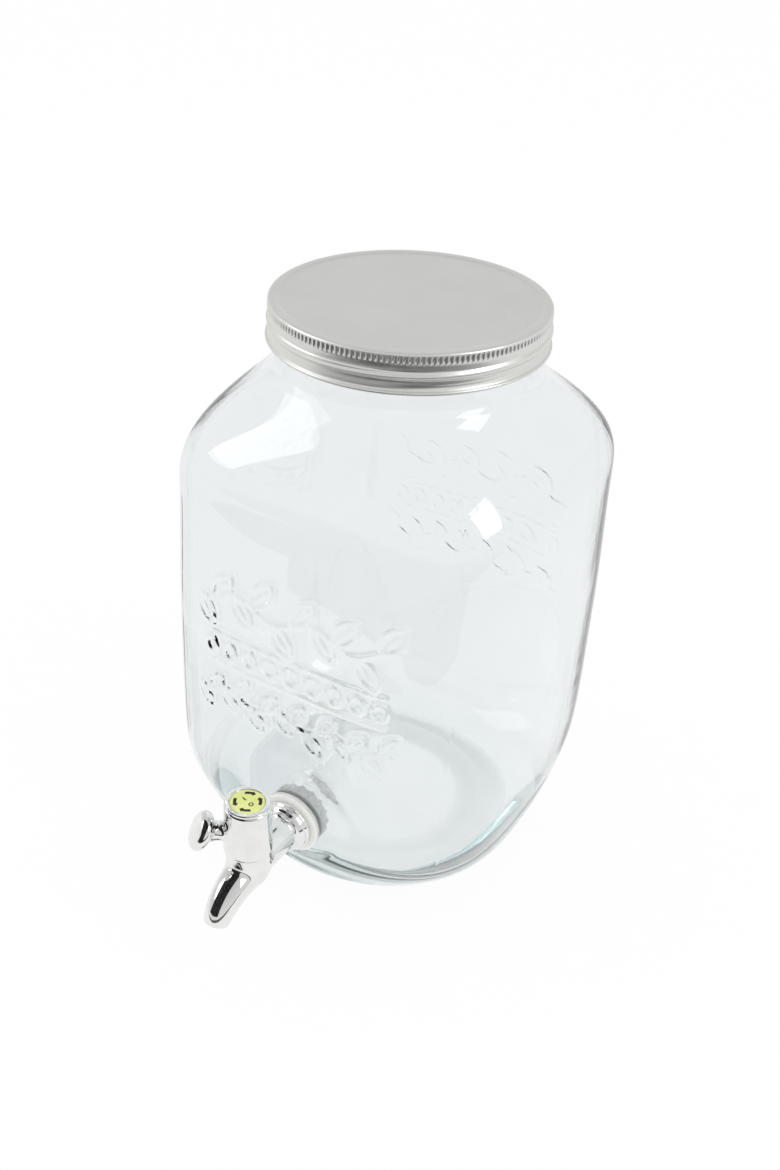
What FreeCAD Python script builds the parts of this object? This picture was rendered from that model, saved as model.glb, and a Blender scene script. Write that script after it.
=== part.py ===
import FreeCAD
import Part
import math
import os

# Glass jar dispenser: a rounded-square jar with a tinplate screw lid and a quarter-turn tap.
# Millimetres, +Z up. The origin is the middle of the base on the jar's axis. The tap points to -Y.

V = FreeCAD.Vector
UP = V(0, 0, 1)
ORIGIN = V(0, 0, 0)

# Jar outline
JAR_HEIGHT = 297.95  # base to rim
JAR_HALF_WIDTH = 93.3  # axis to the middle of a side, where the jar is widest
JAR_UPPER_HALF_WIDTH = 92.0  # the same, just below the shoulder
JAR_BASE_R = 70.9  # half-width of the face that the jar stands on
HEEL_HEIGHT = 140.0  # base to where the sides stand upright
HEEL_FULLNESS = 5.2
HEEL_EASE = 0.72
SHOULDER_HEIGHT = 59.5
SHOULDER_FULLNESS = 3.1
SHOULDER_EASE = 2.3
SIDE_SQUARENESS = 3.8  # 2 is a circle, higher is squarer
BASE_SQUARENESS = 2.1
NECK_SQUARENESS = 2.0
BASE_BLEND_HEIGHT = 60.0  # the plan turns from round to square over this height
LOWER_SHARES = (0.0, 0.008, 0.022, 0.045, 0.08, 0.13, 0.2, 0.3, 0.42)  # section heights, up to the neck
UPPER_SHARES = (0.56, 0.7, 0.78, 0.83, 0.87, 0.905, 0.94, 0.97, 1.0)
SECTION_POINTS = 40

# Jar walls
JAR_WALL = 5.0
JAR_FLOOR = 9.0  # glass under the contents
FLOOR_R = 58.0  # half-width of the flat floor inside
INNER_HEEL_HEIGHT = 30.0
INNER_HEEL_FULLNESS = 3.0

# Jar neck and thread
NECK_R = 62.0
NECK_WALL = 4.8
NECK_LENGTH = 24.95  # shoulder to rim
NECK_LEDGE = 0.3  # step where the shoulder meets the neck
NECK_ROOT = 6.0  # how far the neck reaches down into the shoulder
RIM_ROUND = 1.2
THREAD_PITCH = 6.35
JAR_THREAD_HEIGHT = 1.5
JAR_THREAD_ROOT = 2.6
JAR_THREAD_TIP = 1.2
JAR_THREAD_TURNS = 1.2
JAR_THREAD_START = 12.0  # rim to the middle of the thread's lower end
THREAD_SINK = 0.25  # how far a ridge is rooted in its wall

# Lid
LID_SHEET = 0.5
LID_HEIGHT = 18.8
LID_THREAD_ROOM = 1.0  # jar thread's crest to the inside of the lid
LID_EDGE_ROUND = 2.0
LID_PANEL_DROP = 0.6  # the top panel lies this far below the rim of the lid
LID_PANEL_INSET = 5.0
LID_PANEL_SLOPE = 0.8
LID_BEAD_TOP = 6.9  # lid top to the upper edge of the bead
LID_BEAD_HEIGHT = 5.9
LID_BEAD_BULGE = 1.1
LID_FLARE_TOP = 14.6  # lid top to where the skirt widens
LID_FLARE_HEIGHT = 0.8
LID_FLARE = 0.5
LID_CURL_R = 0.9
LID_THREAD_DEPTH = 2.0
LID_THREAD_ROOT = 2.2
LID_THREAD_TIP = 1.0
LID_THREAD_TURNS = 1.0
THREAD_FLANK_ROOM = 0.35
KNURL_COUNT = 168
KNURL_TOP = 2.2  # lid top to the upper end of the ribs
KNURL_HEIGHT = 3.2
KNURL_DEPTH = 0.35
KNURL_SINK = 0.15
LINER_THICKNESS = 1.2
LINER_ROOM = 0.4
SEAL_ROOM = 0.05

# Tap's seat in the jar
TAP_HEIGHT = 48.0  # base to the middle of the tap's hole
PAD_R = 19.0
PAD_RECESS = 1.4  # how far the flat pad lies inside the side's outline
PAD_GLASS = 6.0
INNER_PAD_R = 16.5
HOLE_ROOM = 0.4
SPOT_DEPTH = 40.0

# Washers and nut
WASHER_R = 17.0
WASHER_THICKNESS = 3.5
INNER_WASHER_R = 16.0
INNER_WASHER_THICKNESS = 2.5
WASHER_ROOM = 0.2
NUT_R = 15.0
NUT_THICKNESS = 7.0
NUT_RIB_COUNT = 16
NUT_RIB_R = 1.2
NUT_RIB_SINK = 0.5

# Threaded stem
STEM_R = 7.0  # over the thread
STEM_THREAD_DEPTH = 0.7
STEM_THREAD_PITCH = 2.0
STEM_THREAD_ROOT = 0.9
STEM_THREAD_TIP = 0.4
STEM_END_LENGTH = 4.0  # plain end past the nut
STEM_BORE_R = 4.0
STEM_THREAD_ROOM = 0.2

# Tap body
FLANGE_R = 13.8
FLANGE_EDGE = 1.5
FLANGE_DOME = 5.2
DOME_SWELL_OUT = 0.72  # middle of the dome's arc, as a share of its width and height
DOME_SWELL_UP = 0.68
TAP_NECK_R = 9.5
TAP_NECK_FILLET = 2.2
FILLET_HOLLOW = 0.3
BARREL_STANDOFF = 39.0  # pad to the barrel's axis
BALL_R = 10.8
BARREL_R = 11.4
BARREL_LEDGE = 12.6  # tap's axis to the ledge under the handle
CORE_R = 9.0
CORE_HEIGHT = 17.4
CHAMBER_BELOW = 6.8  # port's axis to the bottom of the chamber
SPOUT_REACH = 27.5
SPOUT_ROOT_DROP = 2.5  # tap's axis to the spout's root
SPOUT_DROP = 19.5
SPOUT_TURN = 75.0  # degrees from level to the tip's direction
SPOUT_ROOT_R = 9.8
SPOUT_TIP_R = 6.1
SPOUT_BORE_ROOT_R = 3.8
SPOUT_BORE_TIP_R = 4.7
SPOUT_TAPER = 0.8
SPOUT_SECTIONS = 6
SPOUT_BORE_OVERRUN = 0.03  # share of the curve that the bore runs on past the tip

# Valve plug and its seals
PLUG_R = 5.5
PLUG_ROOM = 0.05
PLUG_END_ROOM = 0.2
PORT_R = 3.4
SPINDLE_R = 4.0
DRIVE_WIDTH = 5.4
DRIVE_ROOM = 0.06
PILOT_R = 1.5
PILOT_DEPTH = 11.0
ORING_SECTION_R = 0.75
ORING_ROOM = 0.05
ORING_BELOW = 5.0  # port's axis to the lower ring
ORING_ABOVE = 7.0
BONNET_HEIGHT = 4.0
BONNET_R = 7.4
BONNET_ROOM = 0.05

# Handle
HANDLE_GAP = 0.4
HANDLE_HEIGHT = 27.0
HANDLE_BOTTOM_R = 12.2
HANDLE_TOP_R = 11.6
HANDLE_ROUND = 1.0
HANDLE_BORE_ROOM = 0.4
CROWN_THICKNESS = 7.0
CAP_RECESS_R = 8.7
CAP_RECESS_DEPTH = 3.5
LEVER_ANGLE = 49.0  # degrees from the front towards -X
LEVER_HEIGHT = 10.5  # handle's lower edge to the lever's axis
LEVER_ROOT_SINK = 2.5  # how far the lever is rooted in the handle
LEVER_ROOT_R = 5.7
LEVER_WAIST_R = 4.8
LEVER_WAIST_SHARE = 0.35  # place of the waist along the lever
LEVER_SWELL_R = 5.5
LEVER_SWELL_SHARE = 0.65
LEVER_FLARE_R = 8.4
BUTTON_REACH = 22.5  # barrel's axis to the middle of the button
BUTTON_RISE = 1.4
BUTTON_TILT = 28.0
BUTTON_R = 10.0
BUTTON_HALF_THICKNESS = 3.3
BUTTON_CROWN = 0.6

# Screw, cap and disc
SCREW_HEAD_R = 3.1
SCREW_HEAD_HEIGHT = 1.8
SCREW_SHANK_R = 1.45
SCREW_LENGTH = 9.0
CAP_R = 11.2
CAP_RIM = 1.4  # height of the ring above the handle
CAP_ROUND = 0.6
CAP_FLOOR = 0.8
CAP_SKIRT_WALL = 1.0
CAP_SKIRT_DEPTH = 2.4
CAP_ROOM = 0.05
DISC_R = 8.5
DISC_THICKNESS = 0.8
DISC_ROOM = 0.05
DISC_SETBACK = 0.15

# Worked-out places
shoulder_top = JAR_HEIGHT - NECK_LENGTH
shoulder_bottom = shoulder_top - SHOULDER_HEIGHT
neck_bore_r = NECK_R - NECK_WALL
lid_inner_r = NECK_R + JAR_THREAD_HEIGHT + LID_THREAD_ROOM
lid_r = lid_inner_r + LID_SHEET
liner_bottom = JAR_HEIGHT + SEAL_ROOM
lid_ceiling = liner_bottom + LINER_THICKNESS
lid_top = lid_ceiling + LID_SHEET + LID_PANEL_DROP
nut_face = -PAD_GLASS - INNER_WASHER_THICKNESS  # along the tap's axis, 0 on the pad's face
nut_back = nut_face - NUT_THICKNESS
stem_end = nut_back - STEM_END_LENGTH
stem_thread_start = nut_back - STEM_END_LENGTH / 2
ledge_z = TAP_HEIGHT + BARREL_LEDGE
core_top = ledge_z + CORE_HEIGHT
handle_bottom = ledge_z + HANDLE_GAP
handle_top = handle_bottom + HANDLE_HEIGHT
crown_bottom = handle_top - CROWN_THICKNESS
cap_seat = handle_top - CAP_RECESS_DEPTH
cap_top = handle_top + CAP_RIM
chamber_r = PLUG_R + PLUG_ROOM
bonnet_bottom = core_top - BONNET_HEIGHT


def smooth(share):
    """Eases from 0 to 1."""
    share = min(max(share, 0.0), 1.0)
    return share * share * (3 - 2 * share)


def jar_half_width(z):
    """Distance from the axis to the middle of a side at height z."""
    if z > shoulder_bottom:
        climb = min((z - shoulder_bottom) / SHOULDER_HEIGHT, 1.0)
        top_r = NECK_R + NECK_LEDGE
        return top_r + (JAR_UPPER_HALF_WIDTH - top_r) * (1 - climb ** SHOULDER_FULLNESS) ** SHOULDER_EASE
    if z > HEEL_HEIGHT:
        climb = (z - HEEL_HEIGHT) / (shoulder_bottom - HEEL_HEIGHT)
        return JAR_HALF_WIDTH + (JAR_UPPER_HALF_WIDTH - JAR_HALF_WIDTH) * smooth(climb)
    depth = 1 - z / HEEL_HEIGHT
    return JAR_BASE_R + (JAR_HALF_WIDTH - JAR_BASE_R) * (1 - depth ** HEEL_FULLNESS) ** HEEL_EASE


def jar_squareness(z):
    """Exponent of the plan's outline at height z."""
    to_neck = smooth((z - shoulder_bottom) / SHOULDER_HEIGHT)
    to_base = smooth(1 - z / BASE_BLEND_HEIGHT)
    neck_part = (NECK_SQUARENESS - SIDE_SQUARENESS) * to_neck
    base_part = (BASE_SQUARENESS - SIDE_SQUARENESS) * to_base
    return SIDE_SQUARENESS + neck_part + base_part


def cavity_half_width(z):
    """Half-width of the hollow at height z."""
    if z >= shoulder_top:
        return neck_bore_r + NECK_LEDGE
    wall = JAR_WALL + (NECK_WALL - JAR_WALL) * smooth((z - shoulder_bottom) / SHOULDER_HEIGHT)
    side = jar_half_width(z) - wall
    depth = max(1 - (z - JAR_FLOOR) / INNER_HEEL_HEIGHT, 0.0)
    heel = jar_half_width(JAR_FLOOR) - JAR_WALL - FLOOR_R
    return side - heel * depth ** INNER_HEEL_FULLNESS


pad_y = jar_half_width(TAP_HEIGHT) - PAD_RECESS
barrel_y = pad_y + BARREL_STANDOFF


def section_wire(half_width, squareness, z):
    """Closed outline of the plan at height z, starting at the back."""
    points = []
    for k in range(SECTION_POINTS):
        a = math.pi / 2 + 2 * math.pi * k / SECTION_POINTS
        spread = abs(math.cos(a)) ** squareness + abs(math.sin(a)) ** squareness
        r = half_width / spread ** (1 / squareness)
        points.append(V(r * math.cos(a), r * math.sin(a), z))
    curve = Part.BSplineCurve()
    curve.interpolate(Points=points, PeriodicFlag=True)
    return Part.Wire(curve.toShape())


def turned(points):
    """Solid of revolution about Z from a closed (r, z) outline.

    A third item in a point is the middle of an arc that leads to it.
    """
    edges = []
    here = V(points[0][0], 0, points[0][1])
    for point in points[1:] + points[:1]:
        there = V(point[0], 0, point[1])
        if len(point) == 3:
            middle = V(point[2][0], 0, point[2][1])
            edges.append(Part.Arc(here, middle, there).toShape())
        else:
            edges.append(Part.LineSegment(here, there).toShape())
        here = there
    face = Part.Face(Part.Wire(edges))
    return face.revolve(ORIGIN, UP, 360)


def cylinder(r, low, high):
    return Part.makeCylinder(r, high - low, V(0, 0, low), UP)


def ring(outer_r, inner_r, low, high):
    return cylinder(outer_r, low, high).cut(cylinder(inner_r, low - 1, high + 1))


def arc_middle(centre, r, degrees):
    """Point on a circle in the (r, z) outline, for bending a line."""
    a = math.radians(degrees)
    return (centre[0] + r * math.cos(a), centre[1] + r * math.sin(a))


def helical_ridge(root_r, tip_r, root_width, tip_width, pitch, turns, start_z):
    """Thread ridge that winds up the Z axis, right-handed."""
    path = Part.Wire(Part.makeHelix(pitch, pitch * turns, root_r))
    outline = Part.makePolygon([
        V(root_r, 0, -root_width / 2),
        V(tip_r, 0, -tip_width / 2),
        V(tip_r, 0, tip_width / 2),
        V(root_r, 0, root_width / 2),
        V(root_r, 0, -root_width / 2),
    ])
    ridge = path.makePipeShell([outline], True, True)
    ridge.translate(V(0, 0, start_z))
    return ridge


def on_tap_axis(shape):
    """Turns a shape made along +Z to point out of the jar, with z = 0 on the pad's face."""
    shape.rotate(ORIGIN, V(1, 0, 0), 90)
    shape.translate(V(0, -pad_y, TAP_HEIGHT))
    return shape


def on_barrel_axis(shape):
    """Moves a shape made about the Z axis to the tap's upright barrel."""
    shape.translate(V(0, -barrel_y, 0))
    return shape


def glass_jar():
    outer_wires = []
    inner_wires = []
    for share in LOWER_SHARES + UPPER_SHARES:
        z = share * shoulder_top
        outer_wires.append(section_wire(jar_half_width(z), jar_squareness(z), z))
        z = JAR_FLOOR + share * (shoulder_top - JAR_FLOOR)
        inner_wires.append(section_wire(cavity_half_width(z), jar_squareness(z), z))
    body = Part.makeLoft(outer_wires, True, False)
    hollow = Part.makeLoft(inner_wires, True, False)
    neck = turned([
        (0, shoulder_top - NECK_ROOT),
        (NECK_R, shoulder_top - NECK_ROOT),
        (NECK_R, JAR_HEIGHT - RIM_ROUND),
        (NECK_R - RIM_ROUND, JAR_HEIGHT,
         arc_middle((NECK_R - RIM_ROUND, JAR_HEIGHT - RIM_ROUND), RIM_ROUND, 45)),
        (0, JAR_HEIGHT),
    ])
    thread = helical_ridge(
        NECK_R - THREAD_SINK, NECK_R + JAR_THREAD_HEIGHT, JAR_THREAD_ROOT, JAR_THREAD_TIP,
        THREAD_PITCH, JAR_THREAD_TURNS, JAR_HEIGHT - JAR_THREAD_START)
    bore = cylinder(neck_bore_r, shoulder_top - NECK_ROOT, JAR_HEIGHT + 1)
    pad = on_tap_axis(cylinder(PAD_R, -PAD_GLASS, 0))
    outer_spot = on_tap_axis(cylinder(PAD_R, 0, SPOT_DEPTH))
    inner_spot = on_tap_axis(cylinder(INNER_PAD_R, -PAD_GLASS - SPOT_DEPTH, -PAD_GLASS))
    hole = on_tap_axis(cylinder(STEM_R + HOLE_ROOM, -SPOT_DEPTH, SPOT_DEPTH))
    jar = body.fuse(neck).fuse(thread)
    jar = jar.cut(hollow).cut(bore)
    return jar.fuse(pad).cut(outer_spot).cut(inner_spot).cut(hole)


def lid_shell():
    bead_middle = lid_top - LID_BEAD_TOP - LID_BEAD_HEIGHT / 2
    lid_bottom = lid_top - LID_HEIGHT
    flare_r = lid_r + LID_FLARE
    panel_r = lid_r - LID_PANEL_INSET
    shell = turned([
        (0, lid_ceiling),
        (lid_inner_r, lid_ceiling),
        (lid_inner_r, lid_bottom),
        (flare_r, lid_bottom),
        (flare_r, lid_bottom + 2 * LID_CURL_R, (flare_r + LID_CURL_R, lid_bottom + LID_CURL_R)),
        (flare_r, lid_top - LID_FLARE_TOP - LID_FLARE_HEIGHT),
        (lid_r, lid_top - LID_FLARE_TOP),
        (lid_r, lid_top - LID_BEAD_TOP - LID_BEAD_HEIGHT),
        (lid_r, lid_top - LID_BEAD_TOP, (lid_r + LID_BEAD_BULGE, bead_middle)),
        (lid_r, lid_top - LID_EDGE_ROUND),
        (lid_r - LID_EDGE_ROUND, lid_top,
         arc_middle((lid_r - LID_EDGE_ROUND, lid_top - LID_EDGE_ROUND), LID_EDGE_ROUND, 45)),
        (panel_r + LID_PANEL_SLOPE, lid_top),
        (panel_r, lid_top - LID_PANEL_DROP),
        (0, lid_top - LID_PANEL_DROP),
    ])
    below_jar_thread = (JAR_THREAD_ROOT + LID_THREAD_ROOT) / 2 + THREAD_FLANK_ROOM
    thread = helical_ridge(
        lid_inner_r + THREAD_SINK, lid_inner_r - LID_THREAD_DEPTH, LID_THREAD_ROOT, LID_THREAD_TIP,
        THREAD_PITCH, LID_THREAD_TURNS, JAR_HEIGHT - JAR_THREAD_START - below_jar_thread)
    return shell.fuse(knurl_band()).fuse(thread)


def knurl_band():
    """Ring of small upright ribs round the top of the skirt."""
    points = []
    for k in range(2 * KNURL_COUNT + 1):
        a = math.pi * k / KNURL_COUNT
        r = lid_r + KNURL_DEPTH if k % 2 else lid_r - KNURL_SINK
        points.append(V(r * math.cos(a), r * math.sin(a), lid_top - KNURL_TOP - KNURL_HEIGHT))
    ribs = Part.Face(Part.makePolygon(points)).extrude(V(0, 0, KNURL_HEIGHT))
    core = cylinder(lid_r - 2 * KNURL_SINK, lid_top - LID_HEIGHT, lid_top)
    return ribs.cut(core)


def lid_liner():
    return cylinder(lid_inner_r - LINER_ROOM, liner_bottom, lid_ceiling)


def outer_washer():
    return on_tap_axis(ring(WASHER_R, STEM_R + WASHER_ROOM, 0, WASHER_THICKNESS))


def inner_washer():
    return on_tap_axis(ring(INNER_WASHER_R, STEM_R + WASHER_ROOM, nut_face, -PAD_GLASS))


def lock_nut():
    nut = cylinder(NUT_R, nut_back, nut_face)
    for k in range(NUT_RIB_COUNT):
        a = 2 * math.pi * k / NUT_RIB_COUNT
        reach = NUT_R + NUT_RIB_R - 2 * NUT_RIB_SINK
        rib = cylinder(NUT_RIB_R, nut_back, nut_face)
        rib.translate(V(reach * math.cos(a), reach * math.sin(a), 0))
        nut = nut.fuse(rib)
    bore_r = STEM_R + STEM_THREAD_ROOM
    nut = nut.cut(cylinder(bore_r, nut_back - 1, nut_face + 1))
    first = nut_back + STEM_THREAD_ROOT / 2
    last = nut_face - STEM_THREAD_ROOT / 2
    whole_turns = math.ceil((first - stem_thread_start) / STEM_THREAD_PITCH - 0.5)
    thread_start = stem_thread_start + (whole_turns + 0.5) * STEM_THREAD_PITCH
    thread = helical_ridge(
        bore_r + STEM_THREAD_ROOM, STEM_R - STEM_THREAD_DEPTH + STEM_THREAD_ROOM, STEM_THREAD_ROOT,
        STEM_THREAD_TIP, STEM_THREAD_PITCH, (last - thread_start) / STEM_THREAD_PITCH, thread_start)
    return on_tap_axis(nut.fuse(thread))


def threaded_stem():
    stem = cylinder(STEM_R - STEM_THREAD_DEPTH, stem_end, WASHER_THICKNESS + FLANGE_EDGE)
    thread = helical_ridge(
        STEM_R - STEM_THREAD_DEPTH - STEM_THREAD_ROOM, STEM_R, STEM_THREAD_ROOT, STEM_THREAD_TIP,
        STEM_THREAD_PITCH, (-PAD_GLASS / 2 - stem_thread_start) / STEM_THREAD_PITCH, stem_thread_start)
    return stem.fuse(thread)


def flange_and_neck():
    back = WASHER_THICKNESS
    edge = back + FLANGE_EDGE
    crest = edge + FLANGE_DOME
    neck_start = crest + TAP_NECK_FILLET
    dome_width = FLANGE_R - TAP_NECK_R
    dome_middle = (TAP_NECK_R + DOME_SWELL_OUT * dome_width, edge + DOME_SWELL_UP * FLANGE_DOME)
    hollow = FILLET_HOLLOW * TAP_NECK_FILLET
    fillet_middle = (TAP_NECK_R + hollow, crest + hollow)
    return turned([
        (0, back),
        (FLANGE_R, back),
        (FLANGE_R, edge),
        (TAP_NECK_R + TAP_NECK_FILLET, crest, dome_middle),
        (TAP_NECK_R, neck_start, fillet_middle),
        (TAP_NECK_R, BARREL_STANDOFF),
        (0, BARREL_STANDOFF),
    ])


def barrel():
    ball_middle = arc_middle((0, TAP_HEIGHT), BALL_R, -45)
    return turned([
        (0, TAP_HEIGHT - BALL_R),
        (BALL_R, TAP_HEIGHT, ball_middle),
        (BARREL_R, ledge_z),
        (CORE_R, ledge_z),
        (CORE_R, core_top),
        (0, core_top),
    ])


def spout_loft(root_r, tip_r, overrun):
    """Tapered round loft along the spout's curve, from the barrel's axis to past the tip."""
    wires = []
    for k in range(SPOUT_SECTIONS + 1):
        share = k / SPOUT_SECTIONS
        turn = math.radians(SPOUT_TURN) * share * (1 + overrun)
        r = tip_r + (root_r - tip_r) * (1 - share) ** SPOUT_TAPER
        dip = math.atan2(SPOUT_DROP * math.sin(turn), SPOUT_REACH * math.cos(turn))
        wire = Part.Wire(Part.makeCircle(r))
        wire.rotate(ORIGIN, V(1, 0, 0), 90 + math.degrees(dip))
        drop = SPOUT_ROOT_DROP + SPOUT_DROP * (1 - math.cos(turn))
        wire.translate(V(0, -SPOUT_REACH * math.sin(turn), TAP_HEIGHT - drop))
        wires.append(wire)
    return Part.makeLoft(wires, True, False)


def tap_body():
    body = on_tap_axis(flange_and_neck().fuse(threaded_stem()))
    body = body.fuse(on_barrel_axis(barrel()))
    body = body.fuse(on_barrel_axis(spout_loft(SPOUT_ROOT_R, SPOUT_TIP_R, 0.0)))
    inlet = on_tap_axis(cylinder(STEM_BORE_R, stem_end - 1, BARREL_STANDOFF))
    outlet = on_barrel_axis(spout_loft(SPOUT_BORE_ROOT_R, SPOUT_BORE_TIP_R, SPOUT_BORE_OVERRUN))
    chamber = on_barrel_axis(cylinder(chamber_r, TAP_HEIGHT - CHAMBER_BELOW, core_top + 1))
    bonnet_seat = on_barrel_axis(cylinder(BONNET_R + BONNET_ROOM, bonnet_bottom, core_top + 1))
    return body.cut(inlet).cut(outlet).cut(chamber).cut(bonnet_seat)


def oring_heights():
    return TAP_HEIGHT - ORING_BELOW, TAP_HEIGHT + ORING_ABOVE


def oring(z):
    sweep_r = PLUG_R - ORING_SECTION_R
    return on_barrel_axis(Part.makeTorus(sweep_r, ORING_SECTION_R, V(0, 0, z), UP))


def square_bar(width, low, high):
    return Part.makeBox(width, width, high - low, V(-width / 2, -width / 2, low))


def valve_plug():
    drive_top = cap_seat - PLUG_END_ROOM
    plug = cylinder(PLUG_R, TAP_HEIGHT - CHAMBER_BELOW + PLUG_END_ROOM, bonnet_bottom - PLUG_END_ROOM)
    plug = plug.fuse(cylinder(SPINDLE_R, TAP_HEIGHT, crown_bottom - PLUG_END_ROOM))
    plug = plug.fuse(square_bar(DRIVE_WIDTH, TAP_HEIGHT, drive_top))
    groove_r = PLUG_R - 2 * ORING_SECTION_R - ORING_ROOM
    groove_half = ORING_SECTION_R + 2 * ORING_ROOM
    for z in oring_heights():
        plug = plug.cut(ring(PLUG_R + 1, groove_r, z - groove_half, z + groove_half))
    port = Part.makeCylinder(PORT_R, 4 * PLUG_R, V(-2 * PLUG_R, 0, TAP_HEIGHT), V(1, 0, 0))
    pilot = cylinder(PILOT_R, drive_top - PILOT_DEPTH, drive_top + 1)
    return on_barrel_axis(plug.cut(port).cut(pilot))


def bonnet_ring():
    return on_barrel_axis(ring(BONNET_R, SPINDLE_R + PLUG_ROOM, bonnet_bottom, core_top))


def lever():
    """Short waisted arm to the front, flaring into the back of the button."""
    axis_z = handle_bottom + LEVER_HEIGHT
    back = BUTTON_REACH - BUTTON_HALF_THICKNESS * math.cos(math.radians(BUTTON_TILT)) / 2
    start = HANDLE_BOTTOM_R - LEVER_ROOT_SINK
    stations = (
        (0.0, LEVER_ROOT_R),
        (LEVER_WAIST_SHARE, LEVER_WAIST_R),
        (LEVER_SWELL_SHARE, LEVER_SWELL_R),
        (1.0, LEVER_FLARE_R),
    )
    wires = []
    for share, r in stations:
        rise = smooth(share)
        wire = Part.Wire(Part.makeCircle(r))
        wire.rotate(ORIGIN, V(1, 0, 0), 90 - BUTTON_TILT * rise)
        wire.translate(V(0, -(start + (back - start) * share), axis_z + BUTTON_RISE * rise))
        wires.append(wire)
    return Part.makeLoft(wires, True, False)


def button():
    half = BUTTON_HALF_THICKNESS
    flat_r = BUTTON_R - half
    crown_r = (flat_r ** 2 + BUTTON_CROWN ** 2) / (2 * BUTTON_CROWN)
    crown_centre = (0, half + BUTTON_CROWN - crown_r)
    slope = math.degrees(math.asin(flat_r / crown_r))
    shape = turned([
        (0, -half),
        (flat_r, -half),
        (flat_r, half, (BUTTON_R, 0)),
        (0, half + BUTTON_CROWN, arc_middle(crown_centre, crown_r, 90 - slope / 2)),
    ])
    shape.rotate(ORIGIN, V(1, 0, 0), 90 - BUTTON_TILT)
    shape.translate(V(0, -BUTTON_REACH, handle_bottom + LEVER_HEIGHT + BUTTON_RISE))
    return shape


def tap_handle():
    shroud = turned([
        (0, handle_bottom),
        (HANDLE_BOTTOM_R, handle_bottom),
        (HANDLE_TOP_R, handle_top - HANDLE_ROUND),
        (HANDLE_TOP_R - HANDLE_ROUND, handle_top,
         arc_middle((HANDLE_TOP_R - HANDLE_ROUND, handle_top - HANDLE_ROUND), HANDLE_ROUND, 45)),
        (0, handle_top),
    ])
    arm = lever().fuse(button())
    arm.rotate(ORIGIN, UP, -LEVER_ANGLE)
    handle = shroud.fuse(arm)
    handle = handle.cut(cylinder(CORE_R + HANDLE_BORE_ROOM, handle_bottom - 1, crown_bottom))
    handle = handle.cut(square_bar(DRIVE_WIDTH + 2 * DRIVE_ROOM, crown_bottom - 1, handle_top))
    handle = handle.cut(cylinder(CAP_RECESS_R, cap_seat, handle_top + 1))
    return on_barrel_axis(handle)


def handle_screw():
    shank = cylinder(SCREW_SHANK_R, cap_seat - SCREW_LENGTH, cap_seat + SCREW_HEAD_HEIGHT / 2)
    head = cylinder(SCREW_HEAD_R, cap_seat, cap_seat + SCREW_HEAD_HEIGHT)
    slot_low = cap_seat + SCREW_HEAD_HEIGHT / 2
    slot_width = SCREW_SHANK_R / 2
    slots = []
    for turn in (0, 90):
        slot = Part.makeBox(2 * SCREW_SHANK_R, slot_width, SCREW_HEAD_HEIGHT,
                            V(-SCREW_SHANK_R, -slot_width / 2, slot_low))
        slot.rotate(ORIGIN, UP, turn)
        slots.append(slot)
    return on_barrel_axis(head.fuse(shank).cut(slots))


def handle_cap():
    skirt_r = CAP_RECESS_R - CAP_ROOM
    skirt_inner_r = skirt_r - CAP_SKIRT_WALL
    disc_seat = cap_top - DISC_SETBACK - DISC_THICKNESS
    cap = turned([
        (skirt_inner_r, handle_top - CAP_SKIRT_DEPTH),
        (skirt_r, handle_top - CAP_SKIRT_DEPTH),
        (skirt_r, handle_top),
        (CAP_R, handle_top),
        (CAP_R, cap_top - CAP_ROUND),
        (CAP_R - CAP_ROUND, cap_top, arc_middle((CAP_R - CAP_ROUND, cap_top - CAP_ROUND), CAP_ROUND, 45)),
        (DISC_R + DISC_ROOM, cap_top),
        (DISC_R + DISC_ROOM, disc_seat),
        (0, disc_seat),
        (0, disc_seat - CAP_FLOOR),
        (skirt_inner_r, disc_seat - CAP_FLOOR),
    ])
    return on_barrel_axis(cap)


def indicator_disc():
    high = cap_top - DISC_SETBACK
    return on_barrel_axis(cylinder(DISC_R, high - DISC_THICKNESS, high))


def main():
    lower_z, upper_z = oring_heights()
    shapes = {
        "glass_jar": glass_jar(),
        "lid_shell": lid_shell(),
        "lid_liner": lid_liner(),
        "outer_washer": outer_washer(),
        "inner_washer": inner_washer(),
        "lock_nut": lock_nut(),
        "tap_body": tap_body(),
        "valve_plug": valve_plug(),
        "plug_oring_lower": oring(lower_z),
        "plug_oring_upper": oring(upper_z),
        "bonnet_ring": bonnet_ring(),
        "tap_handle": tap_handle(),
        "handle_screw": handle_screw(),
        "handle_cap": handle_cap(),
        "indicator_disc": indicator_disc(),
    }
    os.makedirs("parts", exist_ok=True)
    for node, shape in shapes.items():
        shape.exportStep("parts/" + node + ".step")
        box = shape.BoundBox
        print(node, "solids", len(shape.Solids), "valid", shape.isValid(), "volume", round(shape.Volume, 1),
              "z", round(box.ZMin, 2), round(box.ZMax, 2), "y", round(box.YMin, 2), round(box.YMax, 2))


main()
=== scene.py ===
import math
import bmesh
import bpy
import numpy as np
from mathutils import Matrix, Vector


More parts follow.
